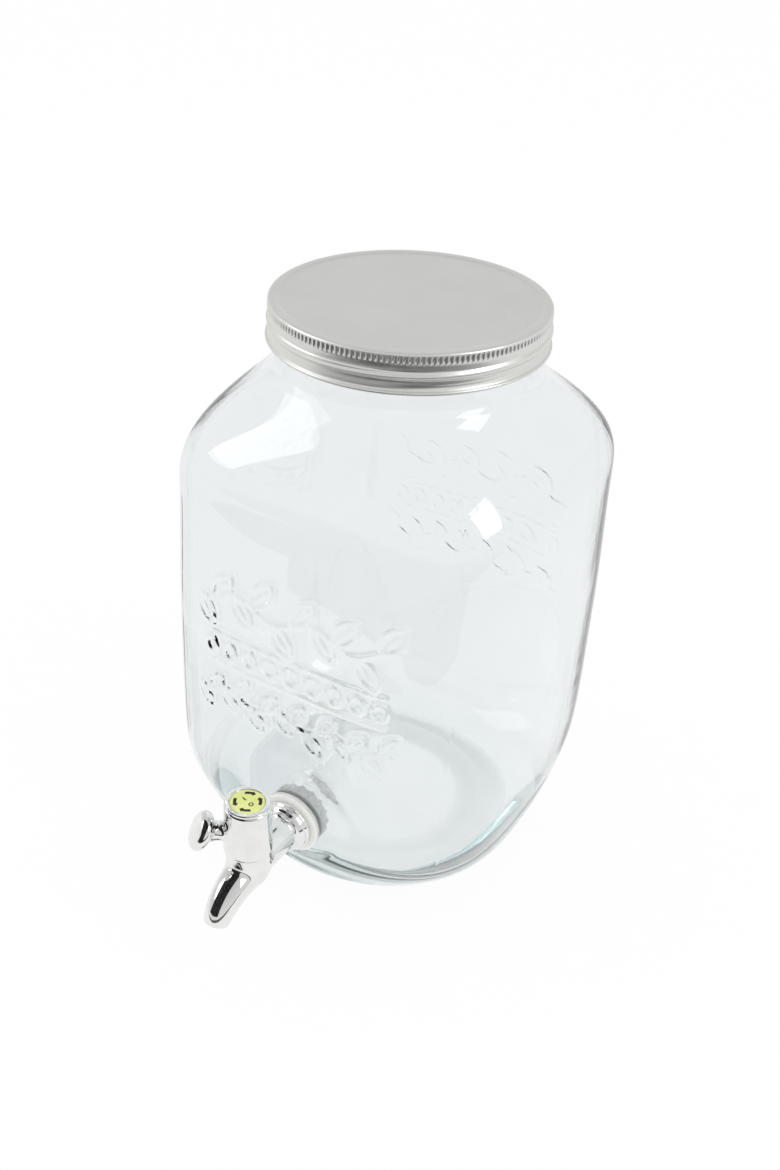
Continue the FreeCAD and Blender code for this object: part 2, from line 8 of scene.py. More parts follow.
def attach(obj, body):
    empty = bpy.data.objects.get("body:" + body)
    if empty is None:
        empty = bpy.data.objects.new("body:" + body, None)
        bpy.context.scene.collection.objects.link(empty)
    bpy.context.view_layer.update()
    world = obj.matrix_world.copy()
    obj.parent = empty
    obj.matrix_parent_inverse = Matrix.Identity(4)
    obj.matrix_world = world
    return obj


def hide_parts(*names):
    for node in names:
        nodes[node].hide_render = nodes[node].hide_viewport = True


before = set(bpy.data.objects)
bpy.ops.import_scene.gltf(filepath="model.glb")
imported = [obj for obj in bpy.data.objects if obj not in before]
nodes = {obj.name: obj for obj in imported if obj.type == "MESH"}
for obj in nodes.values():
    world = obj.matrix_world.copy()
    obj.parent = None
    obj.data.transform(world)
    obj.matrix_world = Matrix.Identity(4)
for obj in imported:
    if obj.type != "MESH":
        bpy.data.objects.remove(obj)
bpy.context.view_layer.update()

# Lengths are in millimetres up to the moment a mesh is made.
MM = 0.001
TAU = 2 * math.pi

# Jar outline
JAR_HEIGHT = 297.95
JAR_HALF_WIDTH = 93.3
JAR_UPPER_HALF_WIDTH = 92.0
JAR_BASE_R = 70.9
HEEL_HEIGHT = 140.0
HEEL_FULLNESS = 5.2
HEEL_EASE = 0.72
SHOULDER_HEIGHT = 59.5
SHOULDER_FULLNESS = 3.1
SHOULDER_EASE = 2.3
SHOULDER_TOP = 273.0
SHOULDER_BOTTOM = SHOULDER_TOP - SHOULDER_HEIGHT
SIDE_SQUARENESS = 3.8
BASE_SQUARENESS = 2.1
NECK_SQUARENESS = 2.0
BASE_BLEND_HEIGHT = 60.0
JAR_WALL = 2.8
JAR_FLOOR = 9.0
FLOOR_R = 58.0
INNER_HEEL_HEIGHT = 30.0
INNER_HEEL_FULLNESS = 3.0
NECK_R = 62.0
NECK_WALL = 4.8
NECK_LEDGE = 0.3
NECK_BORE_R = NECK_R - NECK_WALL
RIM_ROUND = 1.2
THREAD_PITCH = 6.35
JAR_THREAD_HEIGHT = 1.4
JAR_THREAD_HALF_WIDTH = 1.4
JAR_THREAD_TURNS = 1.2
JAR_THREAD_START = 285.95

# Lid
LID_TOP = 300.3
LID_BOTTOM = 281.5
LID_R = 65.0
LID_INNER_R = 64.5
LID_CEILING = 299.2
KNURL_COUNT = 168

# Tap
TAP_HEIGHT = 48.0
PAD_Y = 90.0526
PAD_R = 19.0
PAD_GLASS = 6.0
PAD_EASE = 22.0
PAD_EASE_BELOW = 8.0
PAD_EASE_CLIMB = 25
PAD_ZONE_LOW = 15
PAD_ZONE_HIGH = 90
THICK_R = 25.0
THICK_EASE = 50.0
THICK_START = 4
THICK_CLIMB = 18
HOLE_R = 7.4
DRILL_LENGTH = 40
BARREL_Y = 129.0526
HANDLE_BOTTOM = 61.0
HANDLE_TOP = 88.0
CAP_TOP = 89.4
DISC_TOP = CAP_TOP - 0.15


def unit(value):
    """Clamps to between 0 and 1."""
    return np.clip(value, 0.0, 1.0)


def smooth(share):
    """Eases from 0 to 1."""
    share = unit(share)
    return share * share * (3 - 2 * share)


def smooth_min(a, b, k):
    """Lower of two fields, with a fillet of about k between them."""
    h = unit(0.5 + 0.5 * (b - a) / k)
    return b + (a - b) * h - k * h * (1 - h)


def smooth_max(a, b, k):
    return -smooth_min(-a, -b, k)


def add_object(name, data):
    obj = bpy.data.objects.new(name, data)
    bpy.context.scene.collection.objects.link(obj)
    return obj


def add_mesh(name, verts, faces, sharp=40.0):
    """Object from points in millimetres, smooth shaded but for edges over `sharp` degrees."""
    mesh = bpy.data.meshes.new(name)
    mesh.from_pydata((np.asarray(verts, float) * MM).tolist(), [], faces)
    obj = add_object(name, mesh)
    tidy_mesh(mesh, sharp)
    return obj


def tidy_mesh(mesh, sharp):
    """Faces outwards, smooth shading, sharp edges marked."""
    work = bmesh.new()
    work.from_mesh(mesh)
    bmesh.ops.remove_doubles(work, verts=work.verts, dist=1e-7)
    bmesh.ops.recalc_face_normals(work, faces=work.faces)
    for face in work.faces:
        face.smooth = True
    work.to_mesh(mesh)
    work.free()
    mesh.set_sharp_from_angle(angle=math.radians(sharp))


def finish_piece(obj, material, body, slot, *stands_for):
    """Gives a new piece its finish and the body that it moves with."""
    obj.data.materials.clear()
    obj.data.materials.append(material)
    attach(obj, body)
    if stands_for:
        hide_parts(*stands_for)
    return obj


def ring_points(radius, angles, level):
    """Points at one height, by radius and angle."""
    levels = np.full(len(angles), float(level))
    return np.stack([radius * np.cos(angles), radius * np.sin(angles), levels], axis=1)


def grid_faces(rows, columns):
    """Quads of a grid that closes round its columns."""
    faces = []
    for i in range(rows - 1):
        for j in range(columns):
            k = (j + 1) % columns
            faces.append((i * columns + j, i * columns + k, (i + 1) * columns + k, (i + 1) * columns + j))
    return faces


def close_ends(verts, faces, columns):
    """Joins the first and last row of a grid to a point each, so that the skin is closed."""
    verts = [tuple(v) for v in verts]
    last = len(verts) - columns
    for start, flip in ((0, True), (last, False)):
        ring = range(start, start + columns)
        centre = len(verts)
        verts.append(tuple(np.mean([verts[i] for i in ring], axis=0)))
        for j in range(columns):
            a = start + j
            b = start + (j + 1) % columns
            faces.append((b, a, centre) if flip else (a, b, centre))
    return verts, faces


def join_ends(faces, rows, columns):
    """Joins the last row of a grid to the first, as in a ring with a hole."""
    last = (rows - 1) * columns
    for j in range(columns):
        k = (j + 1) % columns
        faces.append((last + j, last + k, k, j))
    return faces


# Glass jar

def jar_half_width(z):
    """Half-width of the outside across the flats at a height."""
    if z > SHOULDER_BOTTOM:
        climb = unit((z - SHOULDER_BOTTOM) / SHOULDER_HEIGHT)
        top_r = NECK_R + NECK_LEDGE
        return top_r + (JAR_UPPER_HALF_WIDTH - top_r) * (1 - climb ** SHOULDER_FULLNESS) ** SHOULDER_EASE
    if z > HEEL_HEIGHT:
        climb = (z - HEEL_HEIGHT) / (SHOULDER_BOTTOM - HEEL_HEIGHT)
        return JAR_HALF_WIDTH + (JAR_UPPER_HALF_WIDTH - JAR_HALF_WIDTH) * smooth(climb)
    depth = 1 - z / HEEL_HEIGHT
    return JAR_BASE_R + (JAR_HALF_WIDTH - JAR_BASE_R) * (1 - depth ** HEEL_FULLNESS) ** HEEL_EASE


def jar_squareness(z):
    """Power of the superellipse at a height: 2 is round, more is squarer."""
    to_neck = smooth((z - SHOULDER_BOTTOM) / SHOULDER_HEIGHT)
    to_base = smooth(1 - z / BASE_BLEND_HEIGHT)
    neck_part = (NECK_SQUARENESS - SIDE_SQUARENESS) * to_neck
    return SIDE_SQUARENESS + neck_part + (BASE_SQUARENESS - SIDE_SQUARENESS) * to_base


def cavity_half_width(z):
    wall = JAR_WALL + (NECK_WALL - JAR_WALL) * smooth((z - SHOULDER_BOTTOM) / SHOULDER_HEIGHT)
    depth = max(1 - (z - JAR_FLOOR) / INNER_HEEL_HEIGHT, 0.0)
    heel = jar_half_width(JAR_FLOOR) - JAR_WALL - FLOOR_R
    return jar_half_width(z) - wall - heel * depth ** INNER_HEEL_FULLNESS


FRONT_STEP = 0.95
BACK_STEP = 1.5
PANEL_HALF = 66.0
SIDE_STEP = 8.0
CORNER_STEP = 3.0
CORNER_START = 58.0
SEAM_OFFSETS = (-2.4, -1.5, -0.8, -0.35, 0.0, 0.35, 0.8, 1.5, 2.4)
SEAM_HALF_WIDTH = 0.7
SEAM_HEIGHT = 0.03
SEAM_LOW = 25
SEAM_HIGH = 272
SEAM_FADE = 12
SEAM_CLEAR = 3.2
CORNER_REACH_SHARE = 0.86
COLUMN_END = 92.0
PUSH_UP = 4.0
FLOOR_CROWN = 2.5


def jar_columns():
    """Angles of the jar's columns: close together on the front and back panels and at the mould seams."""
    angles = []
    for quarter in range(4):
        middle = -math.pi / 2 + quarter * math.pi / 2
        step = (FRONT_STEP, SIDE_STEP, BACK_STEP, SIDE_STEP)[quarter]
        inner_half = PANEL_HALF if quarter % 2 == 0 else CORNER_START
        places = list(np.arange(-inner_half, inner_half + 0.01, step))
        corner = np.arange(inner_half + CORNER_STEP, COLUMN_END, CORNER_STEP)
        places += list(corner) + list(-corner)
        angles += [middle + math.atan2(p, JAR_HALF_WIDTH) for p in places]
    reach = JAR_HALF_WIDTH * 2 ** 0.5 * CORNER_REACH_SHARE
    for seam in (-math.pi / 4, 3 * math.pi / 4):
        angles = [a for a in angles if abs(a - seam) * reach > SEAM_CLEAR]
        angles += [seam + offset / reach for offset in SEAM_OFFSETS]
    return np.array(sorted(angles))


RIDGE_HALF_WIDTH = 1.3


def ridge(off):
    """Rounded ridge over a line, by the distance from it."""
    return smooth(1.5 - np.abs(off) / RIDGE_HALF_WIDTH)


def leaf_height(u, v, root, heading, length, width):
    """Relief of one almond leaf: a raised outline with a raised middle vein."""
    c, s = math.cos(heading), math.sin(heading)
    along = (u - root[0]) * c + (v - root[1]) * s
    across = -(u - root[0]) * s + (v - root[1]) * c
    share = unit(along / length)
    half = 0.5 * width * np.sin(math.pi * share) ** 0.8
    inside = (along > -0.5) & (along < length + 0.8)
    outline = ridge(np.abs(across) - half)
    vein = 0.7 * ridge(across * 1.2) * smooth((0.8 - share) / 0.1)
    return np.where(inside, np.maximum(outline, vein), 0.0)


def vine_height(u, v, level, scale, flip):
    """A winding stem with leaves to both sides, as pressed into old store jars."""
    wave = 4.0 * scale
    span = 42.0 * scale
    reach = 58.0
    stem_v = level + flip * wave * np.sin(TAU * u / span)
    height = ridge(v - stem_v) * smooth((reach - np.abs(u)) / 4)
    count = int(2 * reach / (11.5 * scale))
    for k in range(count + 1):
        place = -reach + 2 * reach * k / count
        root = (place, level + flip * wave * math.sin(TAU * place / span))
        side = 1 if k % 2 else -1
        leaf = leaf_height(u, v, root, side * math.radians(55), 19.0 * scale, 9.5 * scale)
        height = np.maximum(height, leaf)
    return height


def bead_height(u, v, level):
    """A row of upright oval rings that shrink towards the ends, between two rules."""
    height = np.zeros_like(u)
    for k in range(-4, 5):
        size = 1 - 0.04 * abs(k)
        off = (np.hypot((u - 12.0 * k) / 3.6, (v - level) / 5.2) - size) * 4.0
        height = np.maximum(height, ridge(off))
    for rule in (-8.5, 8.5):
        height = np.maximum(height, 0.7 * ridge(v - level - rule) * smooth((54 - np.abs(u)) / 6))
    return height


UPPER_VINE_LEVEL = 170.0
BEAD_LEVEL = 140.0
LOWER_VINE_LEVEL = 114.0
LOWER_VINE_SCALE = 0.72
RELIEF_HALF_WIDTH = 62.0
RELIEF_FADE = 14
RELIEF_HEIGHT = 0.95
BACK_RELIEF_SHARE = 0.72
RELIEF_LOW = 92.0
RELIEF_HIGH = 192.0


def relief(u, v):
    """Height of the pressed ornament on the front and back panels."""
    height = vine_height(u, v, UPPER_VINE_LEVEL, 1.0, 1)
    height = np.maximum(height, bead_height(u, v, BEAD_LEVEL))
    height = np.maximum(height, vine_height(u, v, LOWER_VINE_LEVEL, LOWER_VINE_SCALE, -1))
    return RELIEF_HEIGHT * height * smooth((RELIEF_HALF_WIDTH - np.abs(u)) / RELIEF_FADE)


def helix(angles, z, start, turns, fade, half_width, fullness):
    """Rounded screw ridge from 0 to 1, which begins at height `start` and fades at both ends."""
    total = np.zeros_like(angles)
    for lap in (0, 1):
        turn = np.mod(angles, TAU) / TAU + lap
        ends = smooth(turn / fade) * smooth((turns - turn) / fade)
        off = np.abs(z - start - THREAD_PITCH * turn) / half_width
        total = np.maximum(total, ends * smooth(fullness - off))
    return total


def jar_outer_rows():
    """Half-width, squareness and height of the outer rows, from the base's middle to the neck."""
    rows = []
    for share in (0.04, 0.2, 0.35, 0.5, 0.62, 0.72, 0.8, 0.86, 0.91, 0.95, 0.98, 1.0):
        hollow = PUSH_UP * smooth((0.94 - share) / 0.7)
        rows.append((JAR_BASE_R * share, BASE_SQUARENESS, hollow))
    levels = [0.15, 0.45, 0.9, 1.5, 2.3, 3.3, 4.6, 6.2, 8.0, 10.0, 12.5]
    levels += list(np.arange(15.0, RELIEF_LOW, 2.8))
    levels += list(np.arange(RELIEF_LOW, RELIEF_HIGH, 1.05))
    levels += list(np.arange(RELIEF_HIGH, SHOULDER_BOTTOM, 3.0))
    levels += list(np.arange(SHOULDER_BOTTOM, SHOULDER_TOP - 0.5, 2.2))
    rows += [(jar_half_width(z), jar_squareness(z), z) for z in levels]
    neck_levels = [SHOULDER_TOP, 274.0, 275.5, 277.5, 279.5, 281.5]
    neck_levels += list(np.arange(283.0, 296.0, 0.6)) + [296.2, JAR_HEIGHT - RIM_ROUND]
    rows += [(NECK_R + NECK_LEDGE * smooth((275.0 - z) / 2), NECK_SQUARENESS, z) for z in neck_levels]
    return rows


def jar_inner_rows():
    """The rows from the rim down to the middle of the floor."""
    rows = []
    for k in range(1, 6):
        a = math.radians(18 * k)
        rows.append((NECK_R - RIM_ROUND * (1 - math.cos(a)), 2.0, JAR_HEIGHT - RIM_ROUND * (1 - math.sin(a))))
    rows.append(((NECK_R - RIM_ROUND + NECK_BORE_R + 1.0) / 2, 2.0, JAR_HEIGHT))
    for k in range(0, 6):
        a = math.radians(18 * k)
        rows.append((NECK_BORE_R + 1.0 - math.sin(a), 2.0, JAR_HEIGHT - 1.0 + math.cos(a)))
    rows += [(NECK_BORE_R, 2.0, z) for z in (294.0, 290.0, 285.0, 280.0, 276.5)]
    levels = list(np.arange(SHOULDER_TOP, SHOULDER_BOTTOM, -3.0))
    levels += list(np.arange(SHOULDER_BOTTOM, 75.0, -7.0))
    levels += list(np.arange(75.0, 40.0, -2.5))
    levels += list(np.arange(40.0, 14.0, -1.6))
    levels += [13.0, 11.9, 11.0, 10.3, 9.75, 9.4, 9.15, JAR_FLOOR]
    rows += [(cavity_half_width(z), jar_squareness(z), z) for z in levels]
    floor_n = jar_squareness(JAR_FLOOR)
    for share in (0.985, 0.95, 0.9, 0.82, 0.72, 0.6, 0.48, 0.35, 0.2, 0.04):
        rows.append((FLOOR_R * share, floor_n, JAR_FLOOR + FLOOR_CROWN * smooth((1 - share) / 0.7)))
    return rows


def flatten_pad(points, pad_y):
    """Draws the wall near the tap to a flat round pad."""
    x, y, z = points
    off = np.hypot(x, z - TAP_HEIGHT)
    ease = PAD_EASE_BELOW + (PAD_EASE - PAD_EASE_BELOW) * smooth((z - TAP_HEIGHT + PAD_R) / PAD_EASE_CLIMB)
    share = np.where(y < 0, smooth((PAD_R + ease - off) / ease), 0.0)
    return np.array([x, y + (-pad_y - y) * share, z])


def thicken_front(points):
    """Makes the inside of the front wall swell to the pad's thickness round the tap."""
    x, y, z = points
    off = np.hypot(x, z - TAP_HEIGHT)
    share = smooth((THICK_R + THICK_EASE - off) / THICK_EASE)
    share = share * smooth((z - JAR_FLOOR - THICK_START) / THICK_CLIMB)
    return np.array([x, y + np.where(y < 0, (PAD_GLASS - JAR_WALL) * share, 0.0), z])


THREAD_ZONE_LOW = 280
PANEL_DEPTH = 60
GLASS_SHARP = 55.0


def glass_jar():
    angles = jar_columns()
    columns = len(angles)
    c, s = np.cos(angles), np.sin(angles)
    outer = jar_outer_rows()
    inner = jar_inner_rows()
    verts = []
    for number, (half_width, squareness, z) in enumerate(outer + inner):
        r = half_width / (np.abs(c) ** squareness + np.abs(s) ** squareness) ** (1 / squareness)
        level = np.full(columns, z)
        outside = number < len(outer)
        if outside:
            if z > THREAD_ZONE_LOW:
                r = r + JAR_THREAD_HEIGHT * helix(angles, level, JAR_THREAD_START, JAR_THREAD_TURNS, 0.06,
                                                  JAR_THREAD_HALF_WIDTH, 1.35)
            seam = np.minimum(np.abs(angles + math.pi / 4), np.abs(angles - 3 * math.pi / 4)) * r
            if SEAM_LOW < z < SEAM_HIGH:
                fade = smooth((z - SEAM_LOW) / SEAM_FADE)
                r = r + SEAM_HEIGHT * smooth(1.6 - seam / SEAM_HALF_WIDTH) * fade
        points = np.array([r * c, r * s, level])
        if not outside:
            points = thicken_front(points)
        elif RELIEF_LOW <= z <= RELIEF_HIGH:
            side = np.sign(points[1])
            raised = relief(-side * points[0], level)
            raised = np.where(side > 0, BACK_RELIEF_SHARE * raised, raised)
            raised = np.where(np.abs(points[0]) < PANEL_HALF, raised, 0.0)
            points[1] = points[1] + side * np.where(np.abs(points[1]) > PANEL_DEPTH, raised, 0.0)
        if PAD_ZONE_LOW < z < PAD_ZONE_HIGH:
            points = flatten_pad(points, PAD_Y if outside else PAD_Y - PAD_GLASS)
        verts.append(points.T)
    verts = np.concatenate(verts)
    faces = grid_faces(len(outer) + len(inner), columns)
    verts, faces = close_ends(verts, faces, columns)
    jar = add_mesh("jar_glass", verts, faces, GLASS_SHARP)
    cut_hole(jar)
    return jar


def cut_hole(jar):
    """Drills the tap's hole through the pad."""
    work = bmesh.new()
    bmesh.ops.create_cone(work, cap_ends=True, segments=96, radius1=HOLE_R * MM, radius2=HOLE_R * MM,
                          depth=DRILL_LENGTH * MM)
    turn = Matrix.Rotation(math.pi / 2, 4, "X")
    place = Matrix.Translation(Vector((0, -(PAD_Y - PAD_GLASS / 2) * MM, TAP_HEIGHT * MM)))
    bmesh.ops.transform(work, matrix=place @ turn, verts=work.verts)
    drill_mesh = bpy.data.meshes.new("drill")
    work.to_mesh(drill_mesh)
    work.free()
    drill = add_object("drill", drill_mesh)
    cut = jar.modifiers.new("hole", "BOOLEAN")
    cut.operation = "DIFFERENCE"
    cut.solver = "EXACT"
    cut.object = drill
    depsgraph = bpy.context.evaluated_depsgraph_get()
    drilled = bpy.data.meshes.new_from_object(jar.evaluated_get(depsgraph))
    jar.modifiers.clear()
    old = jar.data
    jar.data = drilled
    bpy.data.meshes.remove(old)
    bpy.data.objects.remove(drill)
    bpy.data.meshes.remove(drill_mesh)
    tidy_mesh(jar.data, GLASS_SHARP)


# Lid

LID_PITCH_PARTS = ((0.0, 1.0), (0.13, 0.8), (0.25, 0.08), (0.5, 0.0), (0.75, 0.08), (0.87, 0.8))
KNURL_DEPTH = 0.62
KNURL_BAND = ((0.28, 1.25, 0.1), (0.32, 1.5, 0.7), (0.34, 1.85, 1.0), (0.34, 3.0, 1.0), (0.32, 4.0, 1.0),
              (0.26, 4.4, 0.6), (0.12, 4.8, 0.0), (0.0, 5.2, 0.0), (-0.06, 5.8, 0.0), (-0.06, 6.6, 0.0),
              (-0.02, 7.4, 0.0), (0.06, 8.0, 0.0))
BEAD_TOP = 8.2
BEAD_WIDTH = 3.9
LOWER_SKIRT = ((0.0, 12.4), (-0.02, 12.9), (0.04, 13.6), (0.14, 14.4), (0.24, 15.2), (0.3, 16.0),
               (0.34, 16.7))
CURL_R = 0.9
CURL_DROP = 17.9
LID_GROOVE_START = math.radians(-75)
LID_GROOVE_LEVEL = 284.6
LID_GROOVE_TURNS = 1.15
LID_GROOVE_DEPTH = 0.55
LID_GROOVE_HALF_WIDTH = 1.3


def lid_profile():
    """Radius, depth below the top and knurl share of the lid's rows, round the curl to the ceiling."""
    drops = [(r, 0.6, 0.0) for r in (1.0, 12.0, 24.0, 36.0, 46.0, 53.0, 57.5, 59.4)]
    drops += [(60.1, 0.55, 0.0), (60.5, 0.38, 0.0), (60.9, 0.16, 0.0), (61.4, 0.03, 0.0), (62.2, 0.0, 0.0)]
    drops += [(63.4, 0.0, 0.0)]
    for k in range(0, 8):
        a = math.radians(90 - 12 * k)
        drops.append((LID_R - 1 + 1.25 * math.cos(a), 1.1 - 1.1 * math.sin(a), 0.0))
    drops += [(LID_R + past, drop, share) for past, drop, share in KNURL_BAND]
    for k in range(0, 13):
        share = k / 12
        swell = math.sin(math.pi * share) ** 0.8
        drops.append((LID_R + 0.1 + swell, BEAD_TOP + BEAD_WIDTH * share, 0.0))
    drops += [(LID_R + past, drop, 0.0) for past, drop in LOWER_SKIRT]
    for k in range(0, 13):
        a = math.radians(80 - 20 * k)
        drops.append((LID_R + 0.5 + CURL_R * math.cos(a), CURL_DROP - CURL_R * math.sin(a), 0.0))
    rows = [(r, LID_TOP - drop, share) for r, drop, share in drops]
    rows += [(LID_INNER_R, LID_BOTTOM + 1.2, 0.0)]
    rows += [(LID_INNER_R, z, 0.0) for z in (284.5, 287.0, 290.0, 293.0, 296.0, 298.2)]
    rows += [(LID_INNER_R - 0.3, 298.9, 0.0), (LID_INNER_R - 1.0, LID_CEILING, 0.0)]
    rows += [(r, LID_CEILING, 0.0) for r in (60.0, 48.0, 30.0, 12.0, 1.0)]
    return rows


def lid_shell():
    angles = np.array([TAU * (rib + place) / KNURL_COUNT
                       for rib in range(KNURL_COUNT) for place, _ in LID_PITCH_PARTS])
    knurl = np.array([depth for _, depth in LID_PITCH_PARTS] * KNURL_COUNT)
    columns = len(angles)
    rows = lid_profile()
    verts = []
    for r, z, share in rows:
        radius = r - KNURL_DEPTH * share * knurl
        if LID_BOTTOM + 1.8 < z < LID_TOP - 6.5:
            groove = helix(angles - LID_GROOVE_START, z, LID_GROOVE_LEVEL, LID_GROOVE_TURNS, 0.10,
                           LID_GROOVE_HALF_WIDTH, 1.0)
            radius = radius - LID_GROOVE_DEPTH * groove
        verts.append(ring_points(radius, angles, z))
    verts = np.concatenate(verts)
    faces = grid_faces(len(rows), columns)
    verts, faces = close_ends(verts, faces, columns)
    return add_mesh("lid_tin", verts, faces, 60.0)


# Tap pieces by an implicit surface

def surface_mesh(name, field, low, high, step, sharp=60.0):
    """Closed mesh of field(x, y, z) = 0 in a box, with its points drawn onto the surface."""
    axes = [np.arange(a, b + step, step) for a, b in zip(low, high)]
    values = field(axes[0][:, None, None], axes[1][None, :, None], axes[2][None, None, :])
    cells = np.array(values.shape) - 1
    total = np.zeros((*cells, 3))
    hits = np.zeros(cells)
    quads = []
    for axis in range(3):
        steps = np.arange(cells[axis])
        a, b = values.take(steps, axis), values.take(steps + 1, axis)
        at = np.argwhere((a < 0) != (b < 0))
        side_1, side_2 = [k for k in range(3) if k != axis]
        at = at[(at[:, side_1] > 0) & (at[:, side_2] > 0)]
        at = at[(at[:, side_1] < cells[side_1]) & (at[:, side_2] < cells[side_2])]
        fa = a[tuple(at.T)]
        fb = b[tuple(at.T)]
        point = at.astype(float)
        point[:, axis] += fa / (fa - fb)
        corners = []
        for step_1, step_2 in ((0, 0), (-1, 0), (-1, -1), (0, -1)):
            cell = at.copy()
            cell[:, side_1] += step_1
            cell[:, side_2] += step_2
            np.add.at(total, tuple(cell.T), point)
            np.add.at(hits, tuple(cell.T), 1)
            corners.append(cell)
        quads.append((corners, (fa < 0) == (axis != 1)))
    used = hits > 0
    number = np.full(cells, -1)
    number[used] = np.arange(used.sum())
    points = total[used] / hits[used][:, None] * step + np.array(low)
    points = settle(points, field)
    faces = []
    for corners, forward in quads:
        ids = np.stack([number[tuple(c.T)] for c in corners], axis=1)
        ids[~forward] = ids[~forward][:, ::-1]
        faces += ids.tolist()
    return add_mesh(name, points, faces, sharp)


def settle(points, field):
    """Newton steps that bring points onto field = 0."""
    nudge = 0.02
    for _ in range(4):
        value = field(*points.T)
        slope = np.stack([field(*(points + step).T) - field(*(points - step).T)
                          for step in nudge * np.eye(3)], axis=1) / (2 * nudge)
        size = np.maximum((slope ** 2).sum(axis=1), 0.15)
        shift = np.clip(value / size, -0.3, 0.3)
        points = points - slope * shift[:, None]
    return points


WASHER_THICKNESS = 3.5
WASHER_GAP = 0.04
FLANGE_R = 13.8
FLANGE_RIM = 5.0
FLANGE_TOP = (10.2, 11.7)
TAP_NECK_R = 9.5
FLANGE_OUTLINE_STEPS = 28
FLANGE_BAND_HEIGHT = 0.13
FLANGE_BAND_PITCH = 2.6


def arc_through(start, middle, end, count):
    """Points of the circle's arc through three points."""
    (ax, ay), (bx, by), (cx, cy) = start, middle, end
    d = 2 * (ax * (by - cy) + bx * (cy - ay) + cx * (ay - by))
    aa, bb, cc = ax * ax + ay * ay, bx * bx + by * by, cx * cx + cy * cy
    ux = (aa * (by - cy) + bb * (cy - ay) + cc * (ay - by)) / d
    uy = (aa * (cx - bx) + bb * (ax - cx) + cc * (bx - ax)) / d
    r = math.hypot(ax - ux, ay - uy)
    a0 = math.atan2(ay - uy, ax - ux)
    a1 = math.atan2(cy - uy, cx - ux)
    turn = (a1 - a0 + math.pi) % TAU - math.pi
    return [(ux + r * math.cos(a0 + turn * k / count), uy + r * math.sin(a0 + turn * k / count))
            for k in range(count + 1)]


flange_arc = arc_through((FLANGE_RIM, FLANGE_R), (8.536, 12.596), FLANGE_TOP, FLANGE_OUTLINE_STEPS)
flange_arc = [(a, r + FLANGE_BAND_HEIGHT * math.sin(TAU * (a - FLANGE_RIM) / FLANGE_BAND_PITCH))
              for a, r in flange_arc]
neck_arc = arc_through(FLANGE_TOP, (10.86, 10.16), (12.4, TAP_NECK_R), FLANGE_OUTLINE_STEPS)
flange_line = np.array([(0.0, FLANGE_R)] + flange_arc + neck_arc[1:] + [(60.0, TAP_NECK_R)])

SPOUT_REACH = 27.5
SPOUT_ROOT_DROP = 2.5
SPOUT_DROP = 19.5
SPOUT_TURN = math.radians(75)


def spout_point(share):
    """Middle of the spout at a share of its length, as distance from the barrel and height."""
    turn = SPOUT_TURN * share
    return SPOUT_REACH * math.sin(turn), TAP_HEIGHT - SPOUT_ROOT_DROP - SPOUT_DROP * (1 - math.cos(turn))


def spout_field(x, out, z, root_r, tip_r, first, last):
    """Tapered tube along the spout's curve."""
    best = None
    count = 60
    for k in range(count):
        share_a = first + (last - first) * k / count
        share_b = first + (last - first) * (k + 1) / count
        (oa, za), (ob, zb) = spout_point(share_a), spout_point(share_b)
        ra, rb = (tip_r + (root_r - tip_r) * (1 - min(max(s, 0.0), 1.0)) ** 0.8 for s in (share_a, share_b))
        do, dz = ob - oa, zb - za
        t = unit(((out - oa) * do + (z - za) * dz) / (do * do + dz * dz))
        gap = np.sqrt(x * x + (out - oa - do * t) ** 2 + (z - za - dz * t) ** 2) - (ra + (rb - ra) * t)
        best = gap if best is None else np.minimum(best, gap)
    return best


def tip_cut(out, z):
    """Plane across the spout's tip, positive past it."""
    o, h = spout_point(1.0)
    dip = math.atan2(SPOUT_DROP * math.sin(SPOUT_TURN), SPOUT_REACH * math.cos(SPOUT_TURN))
    return (out - o) * math.cos(dip) - (z - h) * math.sin(dip)


TAP_NECK_END = 39.0
BALL_R = 10.8
BALL_FLARE = 0.6
BALL_TOP = 12.6
SPOUT_ROOT_R = 9.8
SPOUT_TIP_R = 6.1
CORE_R = 9.0
CORE_TOP = 78.0
STEM_R = 6.3
STEM_END = -19.5
STEM_PITCH = 2.0
STEM_RIDGE = 0.7
INLET_R = 4.0
OUTLET_ROOT_R = 3.8
OUTLET_TIP_R = 4.7
CHAMBER_R = 5.55
CHAMBER_FLOOR = 41.2
SEAT_R = 7.45
SEAT_FLOOR = 74.0


